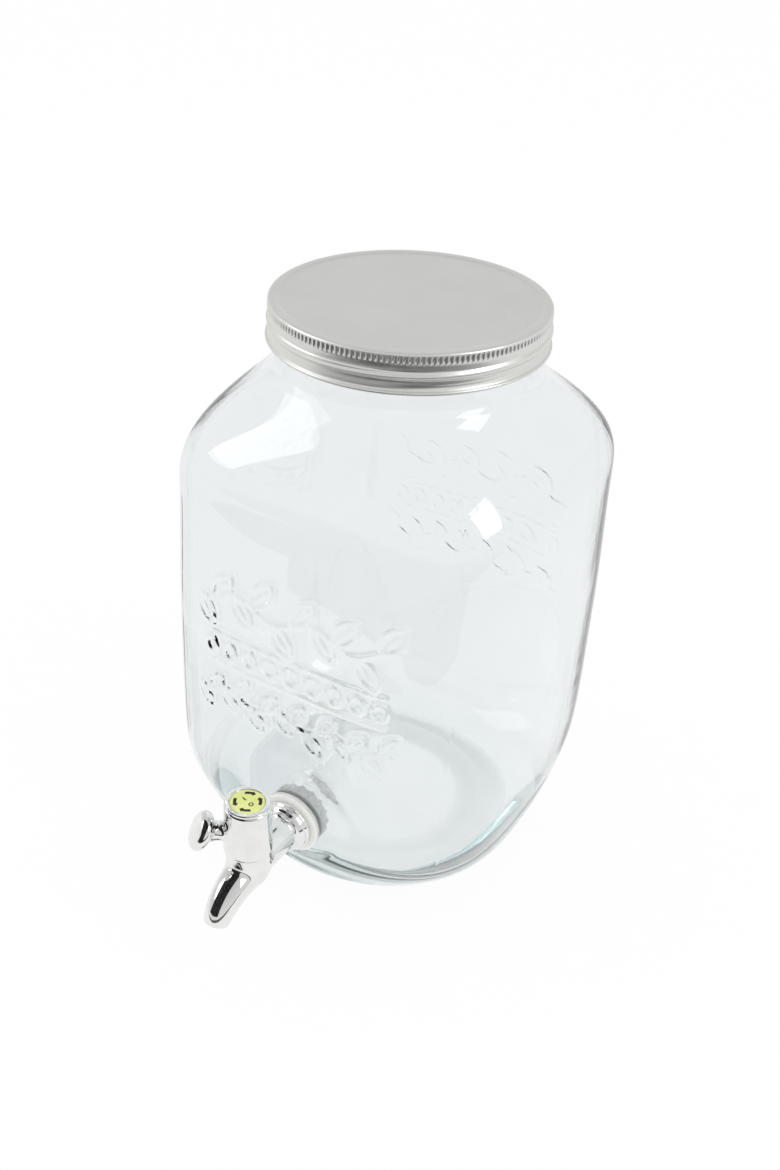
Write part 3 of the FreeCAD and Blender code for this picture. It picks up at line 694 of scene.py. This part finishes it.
def tap_body_field(x, y, z):
    """Housing of the tap: flange, neck, ball, spout, core and stem, less its channels."""
    along = -y - PAD_Y
    out = -y - BARREL_Y
    drop = z - TAP_HEIGHT
    off_axis = np.sqrt(x * x + drop * drop)
    off_barrel = np.sqrt(x * x + out * out)
    profile = np.interp(along, flange_line[:, 0], flange_line[:, 1])
    slope = (np.interp(along + 0.2, flange_line[:, 0], flange_line[:, 1]) - profile) / 0.2
    body = (off_axis - profile) / np.sqrt(1 + np.minimum(slope * slope, 4.0))
    body = smooth_max(body, WASHER_THICKNESS - along, 0.7)
    body = np.maximum(body, along - TAP_NECK_END)
    ball = np.sqrt(off_barrel ** 2 + np.minimum(drop, 0) ** 2) - BALL_R
    ball = ball - BALL_FLARE * unit(drop / BALL_TOP)
    ball = smooth_max(ball, drop - BALL_TOP, 0.6)
    body = smooth_min(body, ball, 2.4)
    spout = spout_field(x, out, z, SPOUT_ROOT_R, SPOUT_TIP_R, 0.0, 1.04)
    spout = smooth_max(spout, tip_cut(out, z), 0.8)
    body = smooth_min(body, spout, 2.0)
    core = smooth_max(off_barrel - CORE_R, z - CORE_TOP, 0.5)
    core = np.maximum(core, TAP_HEIGHT - z)
    body = np.minimum(body, core)
    winding = along / STEM_PITCH - np.arctan2(drop, x) / TAU
    thread = STEM_RIDGE * (0.5 + 0.5 * np.cos(TAU * winding)) ** 1.3
    thread = thread * smooth(along + 18.5) * smooth(-2.0 - along)
    stem = smooth_max(off_axis - STEM_R - thread, STEM_END - along, 0.6)
    stem = np.maximum(stem, along - 4.0)
    body = np.minimum(body, stem)
    inlet = np.maximum(off_axis - INLET_R, along - TAP_NECK_END)
    body = smooth_max(body, -inlet, 0.5)
    body = smooth_max(body, -spout_field(x, out, z, OUTLET_ROOT_R, OUTLET_TIP_R, 0.05, 1.1), 0.5)
    chamber = np.maximum(off_barrel - CHAMBER_R, CHAMBER_FLOOR - z)
    body = np.maximum(body, -chamber)
    seat = np.maximum(off_barrel - SEAT_R, SEAT_FLOOR - z)
    return np.maximum(body, -seat)


LEVER_ANGLE = math.radians(49)
LEVER_LEVEL = 71.5
BUTTON_REACH = 22.5
BUTTON_RISE = 1.4
BUTTON_TILT = math.radians(28)
BUTTON_R = 6.9
BUTTON_HALF_THICKNESS = 3.1
BUTTON_DOME = 0.6
SHROUD_R = 12.2
SHROUD_TAPER = 0.6
SHROUD_TAPER_HEIGHT = 26.0
SHROUD_BORE_R = 9.4
SHROUD_CEILING = 81.0
ARM_START = 9.7
ARM_LENGTH = 11.4
ARM_SHARES = (0.0, 0.2, 0.4, 0.6, 0.8, 1.0)
ARM_RADII = (5.9, 5.05, 4.8, 5.1, 6.0, 7.4)
HANDLE_FILLET = 2.2
SQUARE_HALF = 2.76
RECESS_R = 8.7
RECESS_FLOOR = 84.5


def handle_field(x, y, z):
    """Shroud with its lever and thumb button, less the bore, the plug's square and the cap's recess."""
    out = -y - BARREL_Y
    off_barrel = np.sqrt(x * x + out * out)
    wall = SHROUD_R - SHROUD_TAPER * unit((z - HANDLE_BOTTOM) / SHROUD_TAPER_HEIGHT)
    shroud = smooth_max(off_barrel - wall, z - HANDLE_TOP, 1.3)
    shroud = smooth_max(shroud, HANDLE_BOTTOM - z, 0.6)
    reach = -x * math.sin(LEVER_ANGLE) + out * math.cos(LEVER_ANGLE)
    across = x * math.cos(LEVER_ANGLE) + out * math.sin(LEVER_ANGLE)
    share = unit((reach - ARM_START) / ARM_LENGTH)
    arm_r = np.interp(share, ARM_SHARES, ARM_RADII)
    arm_level = LEVER_LEVEL + BUTTON_RISE * smooth(share)
    arm = np.sqrt(across * across + (z - arm_level) ** 2) - arm_r
    arm = np.maximum(arm, np.maximum(7.0 - reach, reach - 21.4))
    rise = z - LEVER_LEVEL - BUTTON_RISE
    depth = (reach - BUTTON_REACH) * math.cos(BUTTON_TILT) + rise * math.sin(BUTTON_TILT)
    slide = -(reach - BUTTON_REACH) * math.sin(BUTTON_TILT) + rise * math.cos(BUTTON_TILT)
    off_button = np.sqrt(slide * slide + across * across)
    rim = np.maximum(off_button - BUTTON_R, 0.0)
    button = np.sqrt(rim * rim + depth * depth) - BUTTON_HALF_THICKNESS
    dome = BUTTON_DOME * unit(1 - (off_button / BUTTON_R) ** 2)
    button = button - np.where(depth > 0, dome, 0.0)
    arm = smooth_min(arm, button, HANDLE_FILLET)
    handle = smooth_min(shroud, arm, HANDLE_FILLET)
    bore = np.maximum(off_barrel - SHROUD_BORE_R, z - SHROUD_CEILING)
    handle = smooth_max(handle, -bore, 0.4)
    square = np.maximum(np.maximum(np.abs(x), np.abs(out)) - SQUARE_HALF, np.abs(z - 83.0) - 4.0)
    handle = np.maximum(handle, -square)
    recess = np.maximum(off_barrel - RECESS_R, RECESS_FLOOR - z)
    return smooth_max(handle, -recess, 0.4)


# Turned pieces

def turned(name, outline, place, sharp=50.0, columns=128, wobble=None):
    """Ring or disc turned from a closed outline of (radius, height); place moves it into the frame."""
    angles = TAU * np.arange(columns) / columns
    verts = []
    for r, h in outline:
        radius = np.full(columns, float(r))
        if wobble is not None:
            radius = radius + wobble(angles, r, h)
        verts.append(ring_points(radius, angles, h))
    verts = place(np.concatenate(verts))
    faces = grid_faces(len(outline), columns)
    if outline[0][0] < 0.01 and outline[-1][0] < 0.01:
        return add_mesh(name, verts, faces, sharp)
    return add_mesh(name, verts, join_ends(faces, len(outline), columns), sharp)


def on_tap_axis(points):
    """Turns points made along +Z to point out of the jar, with z = 0 on the pad's face."""
    x, y, z = points.T
    return np.stack([x, -PAD_Y - z, TAP_HEIGHT + y], axis=1)


def on_barrel_axis(points):
    return points + np.array([0, -BARREL_Y, 0])


def rounded(corners, round_r, steps=5):
    """Closed outline with each corner rounded."""
    line = []
    count = len(corners)
    for k in range(count):
        here = np.array(corners[k], float)
        back = np.array(corners[k - 1], float) - here
        ahead = np.array(corners[(k + 1) % count], float) - here
        reach = min(round_r, 0.45 * np.linalg.norm(back), 0.45 * np.linalg.norm(ahead))
        start = here + back / np.linalg.norm(back) * reach
        end = here + ahead / np.linalg.norm(ahead) * reach
        for j in range(steps + 1):
            t = j / steps
            line.append(tuple((1 - t) ** 2 * start + 2 * t * (1 - t) * here + t ** 2 * end))
    return line


def densify(outline, longest):
    """Adds points so that no step of a closed outline is longer than `longest`."""
    line = []
    count = len(outline)
    for k in range(count):
        a = np.array(outline[k], float)
        b = np.array(outline[(k + 1) % count], float)
        parts = max(1, math.ceil(np.linalg.norm(b - a) / longest))
        line += [tuple(a + (b - a) * j / parts) for j in range(parts)]
    return line


WASHER_BORE_R = 7.2
OUTER_WASHER_R = 17.0
INNER_WASHER_R = 16.0
INNER_WASHER_BACK = -8.5
NUT_BACK = -15.5
NUT_R = 15.2
NUT_RIB_COUNT = 16
NUT_RIB_HEIGHT = 1.15
NUT_RIB_START = 14.5


def washer(name, r, back, front, round_r):
    low, high = back + WASHER_GAP, front - WASHER_GAP
    outline = rounded([(WASHER_BORE_R, low), (r, low), (r, high), (WASHER_BORE_R, high)], round_r)
    return turned(name, outline, on_tap_axis)


def outer_washer():
    return washer("washer_outside", OUTER_WASHER_R, 0.0, WASHER_THICKNESS, 1.1)


def inner_washer():
    return washer("washer_inside", INNER_WASHER_R, INNER_WASHER_BACK, -PAD_GLASS, 0.7)


def lock_nut():
    low, high = NUT_BACK + WASHER_GAP, INNER_WASHER_BACK - WASHER_GAP
    corners = [(WASHER_BORE_R, low + 0.8), (8.0, low), (13.9, low), (NUT_R, low + 1.3), (NUT_R, high - 0.2),
               (14.9, high), (8.0, high), (WASHER_BORE_R, high - 0.8)]
    outline = densify(rounded(corners, 0.4, 3), 0.5)

    def ribs(angles, r, h):
        if r > NUT_RIB_START:
            wave = unit(np.cos(NUT_RIB_COUNT * angles))
            return NUT_RIB_HEIGHT * wave ** 0.8 * smooth((r - NUT_RIB_START) / 0.6) - 0.1
        if r < 7.5:
            turn = h / STEM_PITCH - angles / TAU
            thread = (0.5 + 0.5 * np.cos(TAU * (turn + 0.5))) ** 1.3
            return -0.55 * thread * smooth((h - low - 0.6) / 0.8)
        return np.zeros_like(angles)

    return turned("nut_inside", outline, on_tap_axis, 45.0, 192, ribs)


def handle_cap():
    seat = HANDLE_TOP + 0.02
    corners = [(7.65, 85.6), (8.65, 85.6), (8.65, seat), (11.2, seat), (11.2, CAP_TOP),
               (8.55, CAP_TOP), (8.55, 88.45), (6.0, 88.45), (6.0, 87.65), (7.65, 87.65)]
    line = []
    for k, corner in enumerate(corners):
        round_r = 0.95 if k == 4 else 0.5 if k == 5 else 0.12
        back, ahead = corners[k - 1], corners[(k + 1) % len(corners)]
        line += rounded([back, corner, ahead], round_r, 7)[8:16]
    return turned("bezel_ring", line, on_barrel_axis, 50.0, 256)


def indicator_disc():
    low, high = 88.47, DISC_TOP
    outline = [(0.0, low), (4.0, low), (8.3, low), (8.5, 88.6), (8.5, high - 0.25), (8.42, high - 0.08)]
    outline += [(8.25, high), (7.9, high), (5.0, high), (2.0, high), (0.0, high)]
    return turned("tap_disc", outline, on_barrel_axis, 50.0, 128)


def flat_mark(outline, low, high):
    """Thin printed mark from a closed outline of (x, y)."""
    count = len(outline)
    verts = [(x, y, low) for x, y in outline] + [(x, y, high) for x, y in outline]
    faces = [tuple(range(count - 1, -1, -1)), tuple(range(count, 2 * count))]
    for k in range(count):
        j = (k + 1) % count
        faces.append((k, j, count + j, count + k))
    return verts, faces


def polar(r, angle):
    return r * math.cos(angle), r * math.sin(angle)


def arc_arrow(middle, span, r, width, head, direction):
    """Outline of an arc with an arrow head at its end."""
    a0 = math.radians(middle - direction * span / 2)
    a1 = math.radians(middle + direction * span / 2)
    steps = 12
    outer = [polar(r + width / 2, a0 + (a1 - a0) * k / steps) for k in range(steps + 1)]
    inner = [polar(r - width / 2, a1 + (a0 - a1) * k / steps) for k in range(steps + 1)]
    tip = [polar(r + width, a1), polar(r, a1 + direction * head / r), polar(r - width, a1)]
    line = outer + tip + inner
    return line if direction > 0 else line[::-1]


def disc_marks():
    """Generic printed marks: turning arrows, a bar for open and a ring for shut."""
    low, top = DISC_TOP - 0.05, DISC_TOP + 0.04
    verts, faces = [], []

    def add(outline):
        v, f = flat_mark(outline, low, top)
        base = len(verts)
        verts.extend(v)
        faces.extend(tuple(i + base for i in face) for face in f)

    for middle, direction in ((30, 1), (120, -1), (210, 1), (300, -1)):
        add(arc_arrow(middle, 36, 6.2, 1.6, 1.7, direction))
    a = math.radians(165)
    centre = polar(2.5, a)
    add([(centre[0] + dx * math.cos(a) - dy * math.sin(a), centre[1] + dx * math.sin(a) + dy * math.cos(a))
         for dx, dy in ((-1.3, -0.35), (1.3, -0.35), (1.3, 0.35), (-1.3, 0.35))])
    a = math.radians(345)
    centre = polar(2.5, a)
    steps = 24
    for k in range(steps):
        b0, b1 = TAU * k / steps, TAU * (k + 1) / steps
        add([(centre[0] + r * math.cos(b), centre[1] + r * math.sin(b))
             for r, b in ((0.75, b0), (1.3, b0), (1.3, b1), (0.75, b1))])
    verts = on_barrel_axis(np.array(verts))
    return add_mesh("disc_marks", verts, faces, 30.0)


# Materials

def new_material(name):
    material = bpy.data.materials.new(name)
    material.use_nodes = True
    tree = material.node_tree
    shader = tree.nodes["Principled BSDF"]
    coords = tree.nodes.new("ShaderNodeTexCoord")
    return material, tree, shader, coords.outputs["Object"]


def add_node(tree, kind, values):
    """New node with the named inputs set."""
    node = tree.nodes.new(kind)
    for name, value in values.items():
        node.inputs[name].default_value = value
    return node


def noise(tree, coords, scale, detail=3.0, roughness=0.5, stretch=None):
    texture = add_node(tree, "ShaderNodeTexNoise", {"Scale": scale, "Detail": detail, "Roughness": roughness})
    if stretch is None:
        tree.links.new(coords, texture.inputs["Vector"])
    else:
        mapping = add_node(tree, "ShaderNodeMapping", {"Scale": stretch})
        tree.links.new(coords, mapping.inputs["Vector"])
        tree.links.new(mapping.outputs["Vector"], texture.inputs["Vector"])
    return texture.outputs["Fac"]


def spread(tree, value, low, high, out_low, out_high):
    """Maps a value from one range to another, clamped."""
    node = add_node(tree, "ShaderNodeMapRange",
                    {"From Min": low, "From Max": high, "To Min": out_low, "To Max": out_high})
    tree.links.new(value, node.inputs["Value"])
    return node.outputs["Result"]


def ramp(tree, value, stops):
    node = tree.nodes.new("ShaderNodeValToRGB")
    elements = node.color_ramp.elements
    elements[0].position, elements[0].color = stops[0][0], (*stops[0][1], 1)
    elements[1].position, elements[1].color = stops[-1][0], (*stops[-1][1], 1)
    for place, colour in stops[1:-1]:
        elements.new(place).color = (*colour, 1)
    tree.links.new(value, node.inputs["Fac"])
    return node.outputs["Color"]


def paint(tree, shader, value, dark, light):
    """Base colour that goes from dark to light with a noise value."""
    tree.links.new(ramp(tree, value, ((0.3, dark), (0.7, light))), shader.inputs["Base Color"])


def bump(tree, value, strength, distance, below=None):
    node = add_node(tree, "ShaderNodeBump", {"Strength": strength, "Distance": distance})
    tree.links.new(value, node.inputs["Height"])
    if below is not None:
        tree.links.new(below, node.inputs["Normal"])
    return node.outputs["Normal"]


def math_node(tree, operation, a, b):
    node = tree.nodes.new("ShaderNodeMath")
    node.operation = operation
    for socket, value in zip(node.inputs, (a, b)):
        if isinstance(value, (int, float)):
            socket.default_value = value
        else:
            tree.links.new(value, socket)
    return node.outputs["Value"]


def start_tree(tree, output_kind):
    """Empties a node tree; gives its output node and the outputs of a light path and of coordinates."""
    tree.nodes.clear()
    output = tree.nodes.new(output_kind)
    path = tree.nodes.new("ShaderNodeLightPath")
    coords = tree.nodes.new("ShaderNodeTexCoord")
    return output, path.outputs, coords.outputs


def mix_shaders(tree, share, first, second, output):
    mix = tree.nodes.new("ShaderNodeMixShader")
    tree.links.new(share, mix.inputs["Fac"])
    tree.links.new(first, mix.inputs[1])
    tree.links.new(second, mix.inputs[2])
    tree.links.new(mix.outputs["Shader"], output.inputs["Surface"])


def glass_material():
    material, tree, shader, coords = new_material("clear_glass")
    shader.inputs["Transmission Weight"].default_value = 1.0
    shader.inputs["IOR"].default_value = 1.48
    haze = noise(tree, coords, 60.0, 4.0)
    paint(tree, shader, haze, (0.975, 0.984, 0.988), (0.988, 0.994, 0.996))
    smudge = noise(tree, coords, 35.0, 5.0, 0.6)
    height = tree.nodes.new("ShaderNodeSeparateXYZ")
    tree.links.new(coords, height.inputs["Vector"])
    stipple = spread(tree, height.outputs["Z"], 0.0022, 0.0006, 0.0, 0.8)
    gloss = math_node(tree, "ADD", spread(tree, smudge, 0.45, 0.75, 0.0, 0.03), stipple)
    tree.links.new(gloss, shader.inputs["Roughness"])
    swell = bump(tree, noise(tree, coords, 18.0, 1.0), 0.16, 0.0012)
    ripple = bump(tree, noise(tree, coords, 70.0, 1.0), 0.05, 0.0006, swell)
    tree.links.new(ripple, shader.inputs["Normal"])
    depth = tree.nodes.new("ShaderNodeVolumeAbsorption")
    depth.inputs["Color"].default_value = (0.12, 0.72, 0.75, 1)
    depth.inputs["Density"].default_value = 4.2
    output = tree.nodes["Material Output"]
    tree.links.new(depth.outputs["Volume"], output.inputs["Volume"])
    return material


def tin_material():
    material, tree, shader, coords = new_material("tinplate")
    shader.inputs["Metallic"].default_value = 1.0
    cloud = noise(tree, coords, 18.0, 5.0, 0.6)
    paint(tree, shader, cloud, (0.74, 0.74, 0.715), (0.79, 0.79, 0.765))
    grain = noise(tree, coords, 900.0, 3.0)
    worn = noise(tree, coords, 45.0, 6.0, 0.65)
    rough = spread(tree, worn, 0.3, 0.75, 0.24, 0.36)
    mixed = math_node(tree, "ADD", spread(tree, grain, 0.3, 0.7, 0.0, 0.06), rough)
    tree.links.new(mixed, shader.inputs["Roughness"])
    fine = bump(tree, grain, 0.10, 0.0001)
    scratch = noise(tree, coords, 9.0, 8.0, 0.75, (6.0, 90.0, 1.0))
    lines = bump(tree, spread(tree, scratch, 0.62, 0.70, 0.0, 1.0), 0.10, 0.00015, fine)
    tree.links.new(lines, shader.inputs["Normal"])
    return material


def chrome_material():
    material, tree, shader, coords = new_material("chrome")
    shader.inputs["Metallic"].default_value = 1.0
    cloud = noise(tree, coords, 120.0, 3.0)
    paint(tree, shader, cloud, (0.78, 0.78, 0.77), (0.84, 0.84, 0.83))
    smear = noise(tree, coords, 260.0, 4.0, 0.6)
    tree.links.new(spread(tree, smear, 0.4, 0.8, 0.03, 0.13), shader.inputs["Roughness"])
    wave = bump(tree, noise(tree, coords, 160.0, 1.0), 0.05, 0.0004)
    tree.links.new(wave, shader.inputs["Normal"])
    return material


def plastic_material(name, dark, light, roughness, scale=300.0, depth=0.00008, coat=0.0):
    """Moulded plastic or rubber: mottled colour, uneven gloss and a fine skin."""
    material, tree, shader, coords = new_material(name)
    mottle = noise(tree, coords, scale * 0.25, 4.0)
    paint(tree, shader, mottle, dark, light)
    skin = noise(tree, coords, scale * 3, 3.0)
    gloss = spread(tree, skin, 0.3, 0.7, roughness * 0.8, roughness * 1.25)
    tree.links.new(gloss, shader.inputs["Roughness"])
    tree.links.new(bump(tree, skin, 0.15, depth), shader.inputs["Normal"])
    shader.inputs["Coat Weight"].default_value = coat
    return material


def steel_material():
    material, tree, shader, coords = new_material("screw_steel")
    shader.inputs["Metallic"].default_value = 1.0
    cloud = noise(tree, coords, 700.0, 4.0)
    paint(tree, shader, cloud, (0.50, 0.50, 0.52), (0.64, 0.64, 0.66))
    tree.links.new(spread(tree, cloud, 0.3, 0.7, 0.22, 0.38), shader.inputs["Roughness"])
    tree.links.new(bump(tree, cloud, 0.1, 0.0001), shader.inputs["Normal"])
    return material


glass = glass_material()
tin = tin_material()
chrome = chrome_material()
silicone = plastic_material("silicone", (0.93, 0.93, 0.90), (0.97, 0.97, 0.94), 0.55, 200.0)
nut_plastic = plastic_material("nut_plastic", (0.94, 0.945, 0.94), (0.98, 0.985, 0.98), 0.5, 200.0)
plug_plastic = plastic_material("plug_plastic", (0.84, 0.84, 0.82), (0.91, 0.91, 0.89), 0.38)
liner_foam = plastic_material("liner_foam", (0.88, 0.88, 0.85), (0.95, 0.95, 0.92), 0.7, 500.0, 0.0003)
rubber = plastic_material("black_rubber", (0.025, 0.025, 0.025), (0.05, 0.05, 0.05), 0.5)
lime = plastic_material("lime_plastic", (0.74, 0.79, 0.25), (0.82, 0.86, 0.34), 0.28, 400.0, 0.00005, 0.4)
ink = plastic_material("black_ink", (0.012, 0.012, 0.012), (0.03, 0.03, 0.03), 0.42, 800.0, 0.00003)
steel = steel_material()

# Pieces

finish_piece(glass_jar(), glass, "jar", "clear_glass", "glass_jar")
finish_piece(lid_shell(), tin, "lid", "tinplate", "lid_shell")
finish_piece(surface_mesh("tap_casting", tap_body_field, (-15.0, -165.5, 26.5), (15.0, -68.5, 79.5), 0.45),
             chrome, "jar", "chrome", "tap_body")
finish_piece(surface_mesh("tap_lever", handle_field, (-28.5, -155.0, 59.5), (13.5, -115.0, 89.5), 0.36),
             chrome, "tap_valve", "chrome", "tap_handle")
finish_piece(handle_cap(), chrome, "tap_valve", "chrome", "handle_cap")
finish_piece(indicator_disc(), lime, "tap_valve", "lime_plastic", "indicator_disc")
finish_piece(disc_marks(), ink, "tap_valve", "black_rubber")
finish_piece(outer_washer(), silicone, "jar", "silicone", "outer_washer")
finish_piece(inner_washer(), silicone, "jar", "silicone", "inner_washer")
finish_piece(lock_nut(), nut_plastic, "jar", "nut_plastic", "lock_nut")

for node, material in (
    ("lid_liner", liner_foam),
    ("valve_plug", plug_plastic),
    ("bonnet_ring", plug_plastic),
    ("plug_oring_lower", rubber),
    ("plug_oring_upper", rubber),
    ("handle_screw", steel),
):
    nodes[node].data.materials.clear()
    nodes[node].data.materials.append(material)

# Floor

FLOOR_SIZE = 12.0
FLOOR_DROP = 0.0004
FLOOR_WHITE_SHARE = 0.95


def floor_material():
    """Pale paper, nearly white to the camera, in glass and in mirrors, with a faint shadow left. In glass it
    is painted 12 to 20 percent darker, and in mirrors up to 12 percent darker away from the middle: painted
    shade that greys the glass and the polished metal.
    """
    material = bpy.data.materials.new("pale_floor")
    material.use_nodes = True
    tree = material.node_tree
    output, path, coords = start_tree(tree, "ShaderNodeOutputMaterial")
    paper = tree.nodes.new("ShaderNodeBsdfDiffuse")
    grain = noise(tree, coords["Object"], 14.0, 4.0)
    tree.links.new(ramp(tree, grain, ((0.3, (0.86,) * 3), (0.7, (0.88,) * 3))), paper.inputs["Color"])
    white = tree.nodes.new("ShaderNodeEmission")
    white.inputs["Strength"].default_value = 1.0
    place = tree.nodes.new("ShaderNodeVectorMath")
    place.operation = "LENGTH"
    tree.links.new(coords["Object"], place.inputs[0])
    far = place.outputs["Value"]
    seen_through, seen_mirrored = path["Is Transmission Ray"], path["Is Glossy Ray"]
    # Painted shade: the floor is darker only where glass or a mirror shows it, never where the camera sees it
    # directly.
    through = math_node(tree, "MULTIPLY", seen_through, spread(tree, far, 1.6, 4.0, 0.12, 0.2))
    mirrored = math_node(tree, "MULTIPLY", seen_mirrored, spread(tree, far, 0.30, 0.55, 0.0, 0.12))
    tone = math_node(tree, "SUBTRACT", 1.0, math_node(tree, "MAXIMUM", through, mirrored))
    tree.links.new(ramp(tree, tone, ((0.0, (0, 0, 0)), (1.0, (1, 1, 1)))), white.inputs["Color"])
    clear = math_node(tree, "MAXIMUM", seen_through, seen_mirrored)
    clear = math_node(tree, "MAXIMUM", path["Is Camera Ray"], clear)
    share = math_node(tree, "MULTIPLY", clear, FLOOR_WHITE_SHARE)
    mix_shaders(tree, share, paper.outputs["BSDF"], white.outputs["Emission"], output)
    return material


half = FLOOR_SIZE / 2
floor_mesh = bpy.data.meshes.new("floor")
corners = [(x * half, y * half, -FLOOR_DROP) for x, y in ((-1, -1), (1, -1), (1, 1), (-1, 1))]
floor_mesh.from_pydata(corners, [], [(0, 1, 2, 3)])
floor = add_object("floor", floor_mesh)
floor_mesh.materials.append(floor_material())

# Light

CAMERA_AZIMUTH = math.radians(28.517)


def studio_world():
    """White to the camera, through glass and to matt surfaces, and a pale room in reflections."""
    world = bpy.data.worlds.new("studio")
    bpy.context.scene.world = world
    world.use_nodes = True
    tree = world.node_tree
    output, path, coords = start_tree(tree, "ShaderNodeOutputWorld")
    split = tree.nodes.new("ShaderNodeSeparateXYZ")
    tree.links.new(coords["Generated"], split.inputs["Vector"])
    room = ramp(tree, spread(tree, split.outputs["Z"], -1.0, 1.0, 0.0, 1.0), (
        (0.0, (0.9,) * 3), (0.5, (0.9,) * 3), (0.65, (0.84,) * 3),
        (0.85, (0.76, 0.76, 0.77)), (1.0, (0.70, 0.70, 0.71))))
    plain = tree.nodes.new("ShaderNodeBackground")
    tree.links.new(room, plain.inputs["Color"])
    plain.inputs["Strength"].default_value = 0.9
    white = tree.nodes.new("ShaderNodeBackground")
    white.inputs["Color"].default_value = (1, 1, 1, 1)
    white.inputs["Strength"].default_value = 1.0
    clear = math_node(tree, "MAXIMUM", path["Is Camera Ray"], path["Is Transmission Ray"])
    clear = math_node(tree, "MAXIMUM", clear, path["Is Diffuse Ray"])
    mix_shaders(tree, clear, plain.outputs["Background"], white.outputs["Background"], output)


studio_world()


def softbox(name, place, aim, width, height, power):
    light = bpy.data.lights.new(name, "AREA")
    light.shape = "RECTANGLE"
    light.size = width
    light.size_y = height
    light.energy = power
    lamp = add_object(name, light)
    lamp.location = place
    lamp.rotation_mode = "QUATERNION"
    lamp.rotation_quaternion = (Vector(aim) - Vector(place)).to_track_quat("-Z", "Y")


softbox("key", (-1.5, -0.7, 1.3), (0, 0, 0.15), 1.0, 1.2, 6.5)
softbox("fill", (1.5, 0.1, 1.2), (0, 0, 0.15), 0.6, 1.0, 7.0)


def felt_material(name, middle, side, direction, start, end):
    """Felt whose tone rises from `middle` to `side` with the distance along a direction."""
    material, tree, shader, coords = new_material(name)
    along = tree.nodes.new("ShaderNodeVectorMath")
    along.operation = "DOT_PRODUCT"
    along.inputs[1].default_value = direction
    tree.links.new(coords, along.inputs[0])
    away = math_node(tree, "ABSOLUTE", along.outputs["Value"], 0.0)
    fuzz = noise(tree, coords, 300.0, 4.0)
    rising = spread(tree, away, start, end, 0.0, 0.95)
    tone = math_node(tree, "ADD", rising, spread(tree, fuzz, 0.3, 0.7, 0.0, 0.05))
    tree.links.new(ramp(tree, tone, ((0.0, (middle,) * 3), (1.0, (side,) * 3))), shader.inputs["Base Color"])
    shader.inputs["Roughness"].default_value = 0.9
    return material


def flag(name, places, faces, material):
    """Studio flag that only polished metal and glass mirror."""
    mesh = bpy.data.meshes.new(name)
    mesh.from_pydata([tuple(p) for p in places], [], faces)
    mesh.materials.append(material)
    card = add_object(name, mesh)
    card.visible_camera = False
    card.visible_diffuse = False
    card.visible_transmission = False
    card.visible_shadow = False


def floor_flag():
    """Dark strip of floor below the camera and beyond, which the lid's skirt mirrors."""
    near, far, wide = 0.34, 1.8, 1.5
    toward = Vector((math.sin(CAMERA_AZIMUTH), -math.cos(CAMERA_AZIMUTH), 0))
    across = Vector((math.cos(CAMERA_AZIMUTH), math.sin(CAMERA_AZIMUTH), 0))
    places = [toward * a + across * b + Vector((0, 0, 0.001))
              for a, b in ((near, -wide), (near, wide), (far, wide), (far, -wide))]
    flag("floor_flag", places, [(0, 1, 2, 3)], felt_material("grey_felt", 0.03, 0.30, across, 0.3, 1.3))


def spout_flag():
    """Dark strip bent round the spout, which puts the long dark line on the chrome."""
    reach = 0.13
    steps = 24
    centre = Vector((0, -0.15, 0.045))
    places = []
    for k in range(steps + 1):
        rise = math.radians(4 + 92 * k / steps)
        for side in (-0.125, 0.055):
            places.append(centre + Vector((side, -reach * math.cos(rise), reach * math.sin(rise))))
    faces = [(2 * k, 2 * k + 1, 2 * k + 3, 2 * k + 2) for k in range(steps)]
    flag("spout_flag", places, faces, felt_material("black_felt", 0.015, 0.03, Vector((1, 0, 0)), 0.0, 0.3))


floor_flag()
spout_flag()

# Camera

CAMERA_DISTANCE = 0.587948
CAMERA_HEIGHT = 0.52414
CAMERA_YAW = math.radians(4.657)
CAMERA_PITCH = math.radians(33.093)
CAMERA_ROLL = math.radians(1.111)
FOCAL_PIXELS = 1342.56
PHOTO_WIDTH = 780
PHOTO_HEIGHT = 1170
AXIS_COLUMN = 300


def photo_camera():
    camera = bpy.data.cameras.new("camera")
    camera.sensor_width = 36.0
    camera.lens = FOCAL_PIXELS / PHOTO_HEIGHT * camera.sensor_width
    camera.shift_x = (PHOTO_WIDTH / 2 - AXIS_COLUMN) / PHOTO_HEIGHT
    camera.clip_start = 0.01
    camera.clip_end = 50.0
    holder = add_object("camera", camera)
    bearing = CAMERA_AZIMUTH + CAMERA_YAW
    ahead = Vector((-math.sin(bearing) * math.cos(CAMERA_PITCH), math.cos(bearing) * math.cos(CAMERA_PITCH),
                    -math.sin(CAMERA_PITCH)))
    right = ahead.cross(Vector((0, 0, 1))).normalized()
    up = right.cross(ahead)
    tilted_right = math.cos(CAMERA_ROLL) * right + math.sin(CAMERA_ROLL) * up
    tilted_up = -math.sin(CAMERA_ROLL) * right + math.cos(CAMERA_ROLL) * up
    turn = Matrix((tilted_right, tilted_up, -ahead)).transposed().to_4x4()
    spot = Vector((CAMERA_DISTANCE * math.sin(CAMERA_AZIMUTH), -CAMERA_DISTANCE * math.cos(CAMERA_AZIMUTH),
                   CAMERA_HEIGHT))
    holder.matrix_world = Matrix.Translation(spot) @ turn
    bpy.context.scene.camera = holder


photo_camera()
bpy.context.scene.view_settings.view_transform = "Standard"
